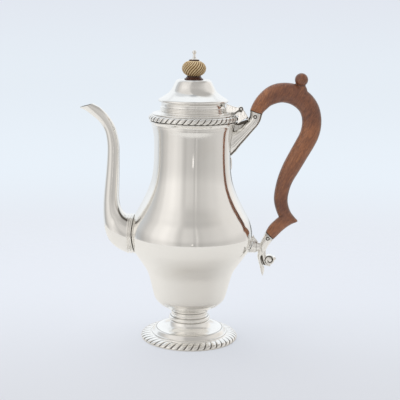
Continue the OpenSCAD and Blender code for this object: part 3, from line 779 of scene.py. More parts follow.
def foot_points(*places):
    """Places given as shares of the foot's width beyond the stem, and of its height."""
    return [
        (STEM_R + out * (FOOT_IN_R - STEM_R), FOOT_TOP_Z + up * (FOOT_H - FOOT_TOP_Z))
        for out, up in places
    ]


def make_foot():
    top_r, top_z = SEAT_R - 0.7, FOOT_H - SEAT
    step = [(FOOT_IN_R - SEAT, FOOT_WIRE_H), (FOOT_IN_R - SEAT, FOOT_TOP_Z - 0.6)] + foot_points(
        (0.95, -0.02), (0.93, 0.02), (0.87, 0.04), (0.775, 0.15), (0.73, 0.17)
    )
    sweep = foot_points(
        (0.70, 0.172), (0.557, 0.183), (0.39, 0.22), (0.25, 0.28), (0.16, 0.36), (0.125, 0.43)
    )
    stem_ring = foot_points((0.08, 0.455), (0.12, 0.48), (0.135, 0.52), (0.12, 0.56), (0.07, 0.59))
    cup = foot_points((0, 0.63), (0.005, 0.68), (0.05, 0.76), (0.16, 0.85)) + [(top_r, top_z)]
    outside = step + smooth(sweep, 5) + smooth(stem_ring, 4) + smooth(cup, 5)
    painted_shadow = foot_points(
        (0.74, 0.10), (0.55, 0.135), (0.34, 0.18), (0.19, 0.26), (0.08, 0.37), (0.02, 0.46),
        (-0.055, 0.60), (-0.05, 0.69), (0.02, 0.80),
    ) + [(top_r - 1.6 * WALL, top_z)]
    inside = [(FOOT_IN_R - WALL, FOOT_WIRE_H)] + foot_points((0.88, -0.08)) + smooth(painted_shadow, 4)
    bm = turned(rounded(outside, 0.4) + inside[::-1], 160, closed=True)
    # Painted shade in the corners of the foot's steps and of its stem ring
    corners = foot_points(
        (0.925, 0.02), (0.70, 0.172), (0.73, 0.17), (0.105, 0.447), (0.085, 0.455), (0.055, 0.60),
        (0.07, 0.59),
    )
    piece("foot", creases(bm, corners, 0.22), "pot", SILVER, ["foot_shell"])


def make_foot_border():
    z0 = FOOT_WIRE_H + SEAT
    bm = gadroon(FOOT_IN_R, FOOT_R, z0, FOOT_TOP_Z, z0 + 0.2, 85, FOOT_LOBES, -540)
    piece("foot_gadroon", bm, "pot", CAST_SILVER, ["foot_border"])


def make_foot_wire():
    in_r, out_r, start_r = FOOT_IN_R - 2, FOOT_R - 0.5, FOOT_IN_R - 1
    outline = [(start_r, 0), (out_r, 0), (out_r, FOOT_WIRE_H), (in_r, FOOT_WIRE_H), (in_r, 0), (start_r, 0)]
    bm = turned(rounded(outline, 0.35), 160)
    piece("foot_wire_ring", bm, "pot", SILVER, ["foot_wire"])


# ---- Spout ----

# Ribs of the spout from its root to its lip, as (out, up) of the lower edge and of the upper
# edge, and the half width
SPOUT_RIBS = [
    [2.6, -17.7, 2.1, 18, 15.5], [8.6, -15, 3.8, 18.8, 15], [15.1, -10.5, 6.1, 20.5, 14],
    [20.1, -4, 8.3, 23.5, 12.5], [23.2, 5.5, 9.8, 27, 10.5], [24.6, 17, 10.9, 31.5, 9],
    [24.6, 30, 11.3, 37, 7.8], [23.7, 43, 11.2, 45.5, 7], [22.2, 58.5, 11, 58.5, 6.2],
    [21.1, 74, 11, 73.5, 5.6], [21, 86, 11.4, 87.5, 5.2], [22.6, 97, 14.2, 100.3, 4.9],
    [25.8, 104.4, 17.8, 108, 4.7], [30.6, 110.5, 22.9, 115, 4.6], [36.9, 115.1, 28.6, 120.5, 4.6],
    [42.6, 117.9, 32.6, 123, 4.8], [47.9, 119.5, 35.8, 124.3, 5],
]
SPOUT_SIDES = 48
SPOUT_ROOT = (2.4, 0)
SPOUT_LIP = (41.8, 121.7)
# The spout's end is lifted more and more from here outwards, to make the beak
LIFT_FROM = -92.0
LIFT_RUN = 14.0
TIP_LIFT = 2.1
# The beak ends where the CAD does, and the mouth is cut open square to this direction
LIP_END = -107.2
MOUTH_UP = (-0.226, 0, 0.974)


def spout_frame():
    """Ribs in the pot's frame, with the spout on the side of -X."""
    return [
        (-BELLY_R - x0, BELLY_Z + z0, -BELLY_R - x1, BELLY_Z + z1, width)
        for x0, z0, x1, z1, width in fitted(SPOUT_RIBS, SPOUT_ROOT, SPOUT_LIP)
    ]


def onto_body(verts, out, side=-1):
    """Vertices laid on the body, on the spout's side of it (-1) or the handle's (1)."""
    for v in verts:
        v.co.x = side * body_x(v.co.z, v.co.y, out)


def beak(pinch):
    """Section that narrows towards the lip that pours."""
    def section(angle):
        lip = (1 + math.cos(angle)) / 2
        return math.cos(angle), math.sin(angle) * (1 - pinch * lip * lip)
    return section


def make_spout():
    bm = bmesh.new()
    recess = bm.verts.layers.float.new("recess")
    ribs = smooth(spout_frame(), 5)
    root = rib_ring(bm, ribs[0], SPOUT_SIDES)
    onto_body(ring_verts(root), ROOT_GAP)
    rings = [root]
    for i, rib in enumerate(ribs):
        along = i / (len(ribs) - 1)
        near_root = 1 - ease((along - 0.22) / 0.12)
        pinch = 0.62 * ease((along - 0.72) / 0.28)
        # A dark line near the root, on the side toward the body, is a painted reflection of the body
        rings.append(rib_ring(
            bm, rib, SPOUT_SIDES, section=beak(pinch),
            shade=lambda angle: 0.95 * near_root * notch(angle, 2.5, 0.12),
        ))
    bridged(bm, rings)
    for v in bm.verts:
        v.co.z += TIP_LIFT * ease((LIFT_FROM - v.co.x) / LIFT_RUN)
    bmesh.ops.bisect_plane(
        bm, geom=bm.verts[:] + bm.edges[:] + bm.faces[:], clear_outer=True,
        plane_co=(LIP_END, 0, BELLY_Z + SPOUT_LIP[1]), plane_no=MOUTH_UP,
    )
    bmesh.ops.recalc_face_normals(bm, faces=bm.faces)
    bore = set(bm.verts)
    bmesh.ops.solidify(bm, geom=bm.faces[:], thickness=WALL)
    for v in bm.verts:
        v.co.x = max(v.co.x, LIP_END)
        # The bore is darkened with painted shade inside the spout
        if v in bore:
            v[recess] = 0.75
    eased_edges(bm, 0.25, 2, 50)
    piece("spout", tidy(bm), "pot", SILVER, ["spout_left", "spout_right"])


def make_spout_collar():
    """Reeded ring round the spout's root, fitted to the body."""
    steps, reeds = 30, 3
    section = [
        (i / steps, 0.4 + 1.4 * abs(math.sin(math.pi * reeds * i / steps))) for i in range(steps + 1)
    ] + [(1, SEAT), (0, SEAT)]
    root = spout_frame()[0]
    bm = bmesh.new()
    recess = bm.verts.layers.float.new("recess")
    rings = []
    for rise, grow in section:
        ring = rib_ring(bm, root, 72, grow)
        for v in ring_verts(ring):
            # Painted shade in the valleys between the reeds
            v[recess] = ease((0.8 - grow) / 0.4) * 0.4
            near = -body_x(v.co.z, v.co.y, ROOT_GAP)
            v.co.x = near + rise * (v.co.x - near)
        rings.append(ring)
    bridged(bm, rings + [rings[0]])
    piece("spout_reeding", tidy(bm), "pot", CAST_SILVER, ["spout_collar"], 60)


# ---- Handle ----

# Ribs of the wood from the upper joint to the lower one, as (out, up) of the outer edge and of
# the inner edge, and the half width
HANDLE_RIBS = [
    [-6, 1.7, 5.9, -1.8, 6.2], [-3.8, 7.2, 7.1, 0.2, 6.6], [-0.4, 13.2, 10, 3, 7],
    [4.2, 18.7, 13, 5.8, 7.4], [10, 23.6, 17.3, 7.8, 7.8], [16.5, 26.6, 21.5, 9, 8],
    [23, 27.8, 25, 9.3, 8], [30, 27.9, 29.5, 8.6, 8.2], [37, 26.6, 33.7, 7, 8.3],
    [43.5, 23.1, 37.5, 4.5, 8.3], [50.9, 17.8, 40.3, 1.8, 8.2], [56.2, 11.5, 42.2, -1.5, 8],
    [59.8, 4.3, 43.3, -5.5, 8], [61.8, -5, 43.6, -10, 7.9], [61.7, -14.5, 43, -15.2, 7.8],
    [59.6, -23.5, 41.7, -19.5, 7.7], [55.4, -32.7, 38.6, -26, 7.6], [49.8, -42.7, 34, -35, 7.5],
    [43, -55, 28.1, -46.8, 7.3], [37.3, -65, 23.7, -58, 7], [34.4, -72.5, 20.9, -68.5, 6.7],
    [32.7, -81.5, 19.3, -80, 6.6], [33.3, -88.5, 19.9, -87.5, 6.6], [36, -95.5, 21.6, -93.5, 6.5],
    [39.8, -100.4, 23.4, -98, 6], [43, -104.5, 24.5, -100.7, 5.5], [38, -107, 22.7, -102.2, 5.8],
    [33, -110.2, 20.2, -104.7, 6], [28.5, -114, 17.6, -107.2, 5.9], [24.5, -118.2, 14.8, -111, 5.7],
    [20.6, -122.3, 12.6, -115.1, 5.4],
]
HANDLE_OUT = 62.0
THUMB_BALL_R = 6.3
THUMB_BALL_UP = 18


def handle_frame():
    """Ribs in the pot's frame, brought out to the handle's reach."""
    reach = max(rib[0] for rib in HANDLE_RIBS)
    return fitted(HANDLE_RIBS, UPPER_JOINT, LOWER_JOINT, HANDLE_OUT / reach)


def into_socket(rib, sign):
    """Direction from a wood joint into its socket, square to the joint's plane."""
    edge = Vector((rib[2] - rib[0], rib[3] - rib[1])).normalized()
    return Vector((edge.y, -edge.x)) * sign


def make_handle():
    ribs = handle_frame()
    bm = bmesh.new()
    loft(bm, smooth(ribs, 5), 56)
    mid = rib_mid(curve_at(*ribs[8:12], 0.2))
    place = Matrix.Translation((mid.x, 0, mid.y))
    bmesh.ops.create_uvsphere(
        bm, u_segments=48, v_segments=32, radius=THUMB_BALL_R,
        matrix=place @ Matrix.Translation((0, 0, THUMB_BALL_UP)),
    )
    neck = smooth([(6.2, 6), (5.6, 9.5), (4.2, 12.2), (3.9, 13.6), (4.6, 15.5)], 4)
    stalk = laid(turned([(0, 4)] + neck + [(0, 16)], 40), place)
    bm = fused(joined(bm, stalk), 0.5, 3)
    bm.normal_update()
    recess = bm.verts.layers.float.new("recess")
    # Painted shade on the wood's inner and outer edges and in the crease under the thumb ball
    for v in bm.verts:
        up = v.co.z - mid.y
        beside = math.hypot(v.co.x - mid.x, v.co.y)
        crease = 0.8 * math.exp(-((up - 12.9) / 0.9) ** 2) * ease((7.5 - beside) / 2)
        v[recess] = max(0.75 * (1 - abs(v.normal.y)) ** 1.4, crease)
    piece("handle_grip", bm, "pot", WOOD, ["handle"], 70)


# Ribs from the wood down to the neck, from the upper joint
UPPER_SOCKET_RIBS = [
    [5.9, -1.8, -6, 1.7, 6.2], [4.3, -8, -6.1, -4, 6.1], [1.6, -13, -8.6, -8.4, 6],
    [-2, -17.4, -12.3, -12, 5.9], [-5.8, -22.2, -15, -14.8, 5.8], [-10, -27.4, -17.8, -16.8, 6],
    [-14.2, -32.6, -20.6, -18, 6.4], [-18, -38, -22.6, -18.2, 6.8],
]
UPPER_FOOT_Z = UPPER_JOINT[1] - 30.6
UPPER_FOOT_HALF = 12.3
UPPER_FOOT_W = 7.0


def seat_rings(bm, z, half, width, out, sides, shade=None):
    """Rings that close the end of a socket against the body."""
    shares = (1, 0.66, 0.33)
    rings = []
    for share in shares:
        rib = (0, z - share * half, 0, z + share * half, share * width)
        ring = rib_ring(bm, rib, sides, cap=share == shares[-1], shade=shade)
        onto_body(ring_verts(ring), out, 1)
        rings.append(ring)
    return rings


def fine_lines(angle):
    """1 in either of the two fine lines along the upper socket's side."""
    return notch(angle, 1.25, 0.07) + notch(angle, 1.75, 0.07)


def moulded(angle):
    """Oval with a groove inside its lower edge and two fine lines along its side."""
    cut = 0.15 * notch(angle, 0.60, 0.17) + 0.035 * fine_lines(angle)
    return math.cos(angle) * (1 - cut), math.sin(angle) * (1 - cut)


# Painted shade in the groove and the fine lines
def moulded_shade(angle):
    return min(1.0, 1.3 * notch(angle, 0.57, 0.17) + 0.25 * fine_lines(angle))


def web_scroll():
    """Ribs of the little scroll in the web's corner, which winds in on itself."""
    centre = Vector((NECK_R + 4.8, MOUTH_Z - 11.3))
    out_r, thick, half_width, count = 3.3, 1.4, 2.9, 13
    ribs = []
    for i in range(count):
        turn = math.radians(150 - 28 * i)
        share = 1 - 0.8 * i / (count - 1)
        reach = Vector((math.cos(turn), math.sin(turn)))
        inner = centre + reach * (out_r * share - thick * (0.5 + 0.5 * share))
        outer = centre + reach * out_r * share
        ribs.append((*inner, *outer, half_width))
    return ribs


# The thin web under the hinge, painted a little darker as shade, and a dark plate beside it that paints the
# shadow there, from the neck and the mouth
UPPER_WEB = [
    (1.0, -6.5), (6.8, -7.1), (14.7, -4.3), (13.0, -9.0), (8.6, -15.1), (4.4, -18.0), (1.1, -17.0),
]
UPPER_WEB_SHADOW = [
    (0.9, -6.4), (6.8, -6.9), (15.0, -3.9), (13.8, -6.7), (8.0, -9.3), (3.2, -9.1), (2.3, -15.5),
    (1.0, -15.9),
]


def web_plate(outline, half, level):
    """Thin plate at the neck, painted with one level of shade."""
    bm = slab(bmesh.new(), placed(outline, NECK_R, MOUTH_Z), -half, half)
    return tidy(shade_where(bm, lambda p: level))


def make_upper_socket():
    joint = (UPPER_JOINT[0] - 0.05, UPPER_JOINT[1] - 0.1)
    ribs = smooth(fitted(UPPER_SOCKET_RIBS, joint, (NECK_R + 2.6, UPPER_FOOT_Z + 2.4)), 6)
    sides = 112
    bm = bmesh.new()
    recess = bm.verts.layers.float.new("recess")
    rings = [
        rib_ring(bm, rib, sides, section=moulded, cap=i == 0, shade=moulded_shade)
        for i, rib in enumerate(ribs)
    ]
    rings += seat_rings(bm, UPPER_FOOT_Z, UPPER_FOOT_HALF, UPPER_FOOT_W, ROOT_GAP, sides, moulded_shade)
    # Painted shade at the joint with the wood
    for v in ring_verts(rings[0]):
        v[recess] = 1.0
    bridged(bm, rings)
    eased_edges(bm, 0.35, 3, 60)
    # The web is painted a little darker as shade, and a dark plate beside it paints the shadow under the
    # hinge
    web = web_plate(UPPER_WEB, 1.5, 0.4)
    painted_shadow = web_plate(UPPER_WEB_SHADOW, 1.9, 1.0)
    scroll = bmesh.new()
    loft(scroll, smooth(web_scroll(), 3), 24)
    bm = joined(tidy(bm), web, painted_shadow, tidy(scroll))
    piece("upper_handle_socket", bm, "pot", CAST_SILVER, ["upper_socket"])


def ornament(right, thick):
    """Low cushion laid on the body, over an outline whose right half is given as (sideways, height)."""
    steps = 7
    outline = right + [(-y, z) for y, z in right[-2:0:-1]]
    mid_y = sum(y for y, z in outline) / len(outline)
    mid_z = sum(z for y, z in outline) / len(outline)
    bm = bmesh.new()
    rings = []
    for i in range(steps):
        a = math.radians(90) * i / steps
        share, out = math.cos(a), ROOT_GAP + thick * math.sin(a)
        verts = [
            bm.verts.new((out, mid_y + share * (y - mid_y), mid_z + share * (z - mid_z)))
            for y, z in outline
        ]
        rings.append([bm.edges.new(pair) for pair in zip(verts, verts[1:] + verts[:1])])
    bridged(bm, rings)
    bmesh.ops.contextual_create(bm, geom=rings[-1])
    bmesh.ops.contextual_create(bm, geom=rings[0])
    for v in bm.verts:
        v.co.x = body_x(v.co.z, v.co.y, v.co.x)
    return tidy(bm)


def make_socket_drop():
    top = UPPER_FOOT_Z - UPPER_FOOT_HALF - 0.3
    right = smooth([
        (0, top), (2.1, top - 0.4), (3.5, top - 2.6), (2.9, top - 5.4), (1.7, top - 8.4),
        (0.8, top - 11.4), (0, top - 12.9),
    ], 5)
    piece("upper_socket_leaf", ornament(right, 1.1), "pot", CAST_SILVER, ["upper_socket_drop"])


# Ribs of the stem from the wood down to its tip, and of the arm that ends in the volute, both
# from the lower joint
LOWER_SOCKET_RIBS = [
    [4, -3.6, -4, 3.6, 5.4], [1.1, -7, -7.2, -2.8, 5], [-1.4, -10.8, -8.8, -6.3, 4.6],
    [-3.2, -14.3, -10.3, -11.8, 4.2], [-4.6, -17.6, -11.3, -17.3, 4], [-7.6, -21, -11.7, -21, 3.5],
    [-7.4, -25, -10.8, -25.2, 3], [-5.7, -29.3, -9.6, -29, 2.6], [-4.2, -32.4, -8.6, -32.7, 2.2],
    [-4.4, -36.5, -7.6, -36.8, 1.7], [-5.5, -40.4, -6.2, -40.7, 0.8],
]
VOLUTE_ARM_RIBS = [
    [-3.4, -14, -8.8, -13.6, 3.4], [-3.2, -17.5, -8.4, -17.3, 3.7], [-2.8, -21, -7.2, -21.4, 3.8],
    [-2, -25, -5.8, -26, 3.8], [-0.5, -28, -3.6, -29.8, 3.8], [2, -28.6, 0.6, -31, 3.8],
]
VOLUTE_AT = (LOWER_JOINT[0] + 0.2, LOWER_JOINT[1] - 24.1)
VOLUTE_R = 4.9
VOLUTE_PITCH = 3.2
# The thin web between stem and arm, from the lower joint
LOWER_WEB = [(-9.8, -17.6), (-6.2, -16.6), (-2.4, -26.4), (-3.6, -30.2), (-6.4, -28.8)]
# The little spike in the corner over the spool, from the belly's edge
SPIKE = [(0, 0), (0.6, 3.7), (1.3, 6.9), (2.2, 3.9), (4.2, 1.7), (6.0, -0.7)]
SPIKE_Z = 97.5
PLATE_T = 1.8
SPOOL_Z = LOWER_JOINT[1] - 11.7
SPOOL_END = LOWER_JOINT[0] - 6.2


def volute(bm):
    """The arm from the stem, and the solid scroll that it ends in."""
    x, z = LOWER_JOINT
    arm = [(x0 + x, z0 + z, x1 + x, z1 + z, width) for x0, z0, x1, z1, width in VOLUTE_ARM_RIBS]
    loft(bm, smooth(arm, 4), 28)
    half, rim_half, rim_r = 4.9, 4.2, VOLUTE_R - 0.2
    disc = [
        (0, -half), (2.2, -half), (2.4, -rim_half), (rim_r, -rim_half), (rim_r, rim_half),
        (2.4, rim_half), (2.2, half), (0, half),
    ]
    return joined(bm, laid(turned(rounded(disc, 0.5), 64), across(*VOLUTE_AT)))


def volute_groove(x, z):
    """1 in the spiral cut of the volute's face, and 0 beside it."""
    r = math.hypot(x - VOLUTE_AT[0], z - VOLUTE_AT[1])
    turn = math.atan2(z - VOLUTE_AT[1], x - VOLUTE_AT[0]) / math.tau
    wound = (r - 2.9) / VOLUTE_PITCH - turn
    aside = abs(wound - round(wound)) * VOLUTE_PITCH
    return math.exp(-(aside / 0.7) ** 2) * ease((VOLUTE_R - r) / 0.5 + 0.2) * ease((r - 1.0) / 0.8)


def spool(bm):
    """The turned neck between the stem and the plate on the belly."""
    plate_x = BELLY_R + PLATE_T
    stations = [
        (SPOOL_END, 5.0, 3.7), (SPOOL_END - 1.5, 4.3, 3.2), (SPOOL_END - 4, 4.1, 3.1),
        (plate_x + 3.4, 4.9, 3.8), (plate_x + 1.2, 5.9, 4.6),
    ]
    rings = [
        rib_ring(bm, (x, SPOOL_Z - half, x, SPOOL_Z + half, width), 40, cap=i == 0)
        for i, (x, half, width) in enumerate(smooth(stations, 4))
    ]
    bridged(bm, rings + seat_rings(bm, SPOOL_Z, 5.9, 4.6, PLATE_T + ROOT_GAP, 40))


def volute_button():
    """The round end of the pin through the volute."""
    outline = rounded([(0, -4.4), (1.5, -4.4), (1.5, 4.4), (0, 4.4)], 0.5)
    return laid(turned(outline, 24), across(VOLUTE_AT[0] + 4.8, VOLUTE_AT[1] + 1.5))


def finish_lower_socket(bm):
    """Spiral cuts in the volute, and painted shade in them and as dark lines at the web, the spool and the
    wood.
    """
    x, z = LOWER_JOINT
    into = into_socket(handle_frame()[-1], -1)
    collar_x = BELLY_R + PLATE_T + 2.4
    collar = [(collar_x, SPOOL_Z - 5.6), (collar_x, SPOOL_Z + 5.6)]
    neck = placed([(-0.9, -4.8), (-2.2, 0), (-0.9, 4.8)], SPOOL_END, SPOOL_Z)
    recess = bm.verts.layers.float.new("recess")
    for v in bm.verts:
        dx, dz = v.co.x - x, v.co.z - z
        on_volute_face = abs(v.co.y) > 2.8
        on_web = abs(v.co.y) < 2.6 and -29.5 < dz < -17.6
        on_spool = v.co.x < SPOOL_END and abs(v.co.z - SPOOL_Z) < 6
        if on_volute_face:
            groove = volute_groove(v.co.x, v.co.z)
            v.co.y -= math.copysign(0.8 * groove, v.co.y)
            v[recess] = groove
        elif on_web:
            web_middle = -8.0 + (-18.5 - dz) * 0.42
            v[recess] = ease(2.0 - abs(dx - web_middle) / 1.3)
        if on_spool:
            v[recess] = 0.5 * max(line_shade(v.co, collar, 0.6), line_shade(v.co, neck, 0.6))
        # Painted shade at the joint with the wood, fading along the socket
        depth = Vector((dx, dz)) @ into
        v[recess] = max(v[recess], ease(1.4 - depth / 0.6), 0.4 * ease((5.5 - depth) / 4))


def make_lower_socket():
    x, z = LOWER_JOINT
    tip = rib_mid(LOWER_SOCKET_RIBS[-1])
    bm = bmesh.new()
    loft(bm, smooth(fitted(LOWER_SOCKET_RIBS, (x - 0.07, z - 0.07), (x + tip.x, z + tip.y)), 5), 40)
    web = slab(bmesh.new(), placed(LOWER_WEB, x, z), -1.5, 1.5)
    spike = slab(bmesh.new(), placed(SPIKE, BELLY_R, SPIKE_Z), -1.3, 1.3)
    bm = joined(volute(bm), web, spike)
    spool(bm)
    button = volute_button()
    bmesh.ops.recalc_face_normals(bm, faces=bm.faces)
    bm = fused(joined(bm, button), 0.3, 2)
    finish_lower_socket(bm)
    piece("lower_handle_socket", bm, "pot", CAST_SILVER, ["lower_socket"], 70)


def make_socket_plate():
    z = SPOOL_Z
    right = smooth([
        (0, z + 11.1), (2.4, z + 10.3), (4.4, z + 7.2), (6.3, z + 2.4), (6.2, z - 1.5), (4.0, z - 5.4),
        (2.0, z - 8.4), (1.2, z - 10.2), (0, z - 10.9),
    ], 5)
    bm = ornament(right, PLATE_T - ROOT_GAP)
    piece("lower_socket_leaf", bm, "pot", CAST_SILVER, ["lower_socket_plate"])


def make_rivets():
    """Round-headed rivets, each in a dark ring."""
    ribs = handle_frame()
    places = (
        ("upper_socket_rivet", "upper_rivet", UPPER_JOINT, into_socket(ribs[0], 1), 9.0, 6.6),
        ("lower_socket_rivet", "lower_rivet", LOWER_JOINT, into_socket(ribs[-1], -1), 7.0, 5.4),
    )
    for name, node, joint, into, tenon, half in places:
        at = Vector(joint) + into * 0.48 * tenon
        end = half + 0.35
        side = smooth([(0, end), (0.55, end - 0.06), (0.85, end - 0.25), (0.95, end - 0.5)], 4)
        side += [(1.35, end - 0.45), (1.85, end - 0.5), (1.9, end - 1.1)]
        bm = turned(mirrored(side), 40)
        shade_where(bm, lambda p: ease((math.hypot(p.x, p.y) - 0.75) / 0.3))
        piece(name, laid(bm, across(at.x, at.y)), "pot", SILVER, [node])


# ---- Hinge ----

def barrel(bm, low_y, high_y):
    """Knuckle added to a shell."""
    outline = rounded([(0, low_y), (BARREL_R, low_y), (BARREL_R, high_y), (0, high_y)], 0.35)
    return joined(bm, laid(turned(outline, 40), across(*HINGE)))


def strap(first, last, first_r, last_r):
    """Outline of a bar with round ends."""
    along = math.degrees(math.atan2(last[1] - first[1], last[0] - first[0]))
    outline = []
    for (x, z), r, start in ((first, first_r, along + 90), (last, last_r, along - 90)):
        for i in range(9):
            turn = math.radians(start + 22.5 * i)
            outline.append((x + r * math.cos(turn), z + r * math.sin(turn)))
    return outline


def make_hinge_lug():
    """Lug on the mouth with the two outer knuckles, and the straps that brace it."""
    x, z = HINGE
    back_r = MOUTH_R + LIP_W + 0.05
    gap = KNUCKLE_HALF + 0.3
    half = BARREL_HALF - 0.5
    cheek = [
        (back_r - 0.6, MOUTH_Z - 7.2), (x - BARREL_R, MOUTH_Z - 7), (x + 0.5, MOUTH_Z - 4.8),
        (x + 4.4, MOUTH_Z - 2.4), (x + 6.0, MOUTH_Z - 1.2), (x + 1.4, z), (x - 1.4, z),
        (x - 2.4, z - 1.7), (x - 4.3, z - 3.2), (x - 5.6, z - 4.6), (x - 5.8, z - 6.6),
        (back_r - 0.1, MOUTH_Z - 0.2),
    ]
    base = cheek[:4] + [(x + 2.2, MOUTH_Z - 0.4), (back_r - 0.2, MOUTH_Z - 0.4)]
    brace = strap((x + 0.4, z - 0.4), (UPPER_JOINT[0] - 8.2, UPPER_JOINT[1] - 5.9), 1.4, 1.0)
    bm = bmesh.new()
    for outline in (cheek, brace):
        slab(bm, outline, gap, half)
        slab(bm, outline, -half, -gap)
    slab(bm, base, -half, half)
    bmesh.ops.recalc_face_normals(bm, faces=bm.faces)
    bm = barrel(bm, gap, BARREL_HALF)
    bm = fused(barrel(bm, -BARREL_HALF, -gap), 0.2, 2)
    edge = placed([(-5.5, -4.4), (-3.9, -2.9), (-1.9, -1.9), (0.4, -2.6)], x, z)
    foot = placed([(0.6, -5.4), (4.4, -2.9), (6.4, -1.4)], x, MOUTH_Z)

    # Painted shade: a dark ring round the knuckle's end, a line along the lug's edge and a line under it
    def shade(p):
        if abs(p.y) <= KNUCKLE_HALF + 0.2:
            return 0
        return max(1.2 * ring_shade(p, HINGE, 1.5, 0.5), line_shade(p, edge, 0.7), line_shade(p, foot, 0.6))

    piece("hinge_lug", shade_where(bm, shade), "pot", CAST_SILVER, ["hinge_body_leaf"], 60)


def make_hinge_bracket():
    """Bracket from the lid's band to the middle knuckle."""
    x, z = HINGE
    base_z = MOUTH_Z + 1.42
    bracket = [
        (BAND_R + 2.6, base_z), (MOUTH_R + 1.4, base_z), (MOUTH_R + 3.2, base_z + 1.6),
        (x - 0.63, z - 1.89), (x - 0.42, z + 1.89), (x - 2.73, z + 0.63), (BAND_R + 5.4, z + 2.1),
        (BAND_R - 0.2, MOUTH_Z + BAND_H + 2), (BAND_R - 0.2, base_z + 2),
    ]
    bm = slab(bmesh.new(), bracket, -KNUCKLE_HALF, KNUCKLE_HALF)
    bmesh.ops.recalc_face_normals(bm, faces=bm.faces)
    bm = fused(barrel(bm, -KNUCKLE_HALF, KNUCKLE_HALF), 0.2, 2)
    low = [(BAND_R + 5, base_z + 0.9), (MOUTH_R + 1.2, base_z + 0.9), (MOUTH_R + 2.9, base_z + 2.4)]
    # Painted shade along the bracket's lower edge
    shade_where(bm, lambda p: line_shade(p, low, 0.5) if abs(p.y) > KNUCKLE_HALF - 0.6 else 0)
    piece("hinge_bracket", bm, "lid", CAST_SILVER, ["hinge_lid_leaf"], 60)


def make_hinge_pin():
    end = BARREL_HALF + 0.4
    side = smooth([(0, end), (0.6, end - 0.08), (0.9, end - 0.35), (0.9, end - 1)], 4)
    bm = laid(turned(mirrored(side), 32), across(*HINGE))
    piece("hinge_pin_rod", bm, "pot", SILVER, ["hinge_pin"])


# ---- Lid and finial ----

def make_lid_flange():
    out_r = MOUTH_R + 0.6
    outline = [
        (BAND_IN_R, FLANGE_Z), (out_r, FLANGE_Z), (out_r, FLANGE_Z + 0.7), (out_r - 0.6, FLANGE_Z + 1.2),
        (BAND_R + 2.4, FLANGE_Z + 1.2), (BAND_R + 1.2, FLANGE_Z + 1.7), (BAND_R + 0.7, FLANGE_Z + 2.5),
        (BAND_R + 0.6, BAND_Z), (BAND_IN_R, BAND_Z),
    ]
    bm = turned(rounded(outline, 0.3), 160, closed=True)
    piece("lid_flange_ring", bm, "lid", SILVER, ["lid_flange"])


def make_lid_bezel():
    out_r = MOUTH_R - WALL - 0.9
    in_r = out_r - WALL
    top = FLANGE_Z - SEAT
    outline = [(in_r, top - 5), (out_r - 0.3, top - 5), (out_r, top - 4), (out_r, top), (in_r, top)]
    bm = turned(rounded(outline, 0.25), 160, closed=True)
    piece("lid_bezel_ring", bm, "lid", SILVER, ["lid_bezel"])


def make_lid_band():
    """Band of three reeds with a hollow neck over them."""
    reed_h = 0.155 * BAND_H
    low, top = BAND_Z + SEAT, DOME_Z - SEAT
    reeds = [
        (BAND_R - 0.35 + 0.55 * math.sin(a), low + reed_h * (i + 0.5 - math.cos(a) / 2))
        for i in range(3)
        for a in [math.pi * k / 10 for k in range(11)]
    ]
    neck = smooth([
        (BAND_R - 0.5, BAND_Z + 0.48 * BAND_H), (BAND_R - 0.9, BAND_Z + 0.62 * BAND_H),
        (BAND_R - 0.7, BAND_Z + 0.82 * BAND_H), (BAND_R + 0.3, top),
    ], 5)
    outline = [(BAND_IN_R, low)] + reeds + neck + [(BAND_IN_R, top)]
    piece("lid_reeded_band", turned(outline, 160, closed=True), "lid", SILVER, ["lid_band"])


def make_lid_dome():
    slope = [
        (STEP_R - back, DOME_Z + up * DOME_H)
        for back, up in ((0.5, 0.10), (3, 0.18), (7.3, 0.31), (10.8, 0.45), (12.8, 0.60))
    ]
    crown = [
        (DOME_TOP_R + out, DOME_Z + up * DOME_H) for out, up in ((3.3, 0.79), (1.7, 0.93))
    ] + [(DOME_TOP_R, TOP_Z)]
    outside = [(BAND_R + 0.6, DOME_Z), (STEP_R - 0.1, DOME_Z + 0.3)]
    outside += smooth([(STEP_R, DOME_Z + 0.9)] + slope + crown, 6)
    inside = [(r, min(max(z, DOME_Z), TOP_Z - WALL)) for r, z in inset(outside, WALL)]
    bore = [(BORE_R, TOP_Z - WALL), (BORE_R, TOP_Z)]
    bm = turned(rounded(inside + bore + outside[::-1], 0.6), 192, closed=True)
    # Painted shade under the dome's step
    piece("lid_cover", creases(bm, [(STEP_R - 0.1, DOME_Z + 0.1)], 0.45), "lid", SILVER, ["lid_dome"])


def make_knob_collar():
    r = 0.78 * KNOB_R
    low, top = TOP_Z + SEAT, KNOB_Z - SEAT
    side = smooth([
        (r, low + 0.15 * KNOB_COLLAR_H), (0.87 * r, low + 0.45 * KNOB_COLLAR_H),
        (0.76 * r, low + 0.75 * KNOB_COLLAR_H), (0.76 * r, top),
    ], 5)
    outline = rounded([(BORE_R, low), (r, low)] + side + [(BORE_R, top)], 0.25)
    piece("knob_collar", turned(outline, 96, closed=True), "lid", DARK_WOOD, ["finial_collar"])


def make_knob_washer():
    low, top = WASHER_Z + SEAT, WASHER_Z + 1.2
    outline = [
        (BORE_R, low), (4.4, low), (5, WASHER_Z + 0.4), (5, WASHER_Z + 0.8), (4.5, top), (BORE_R, top),
    ]
    bm = turned(rounded(outline, 0.2), 64, closed=True)
    piece("knob_washer", bm, "lid", DARK_WOOD, ["finial_washer"])


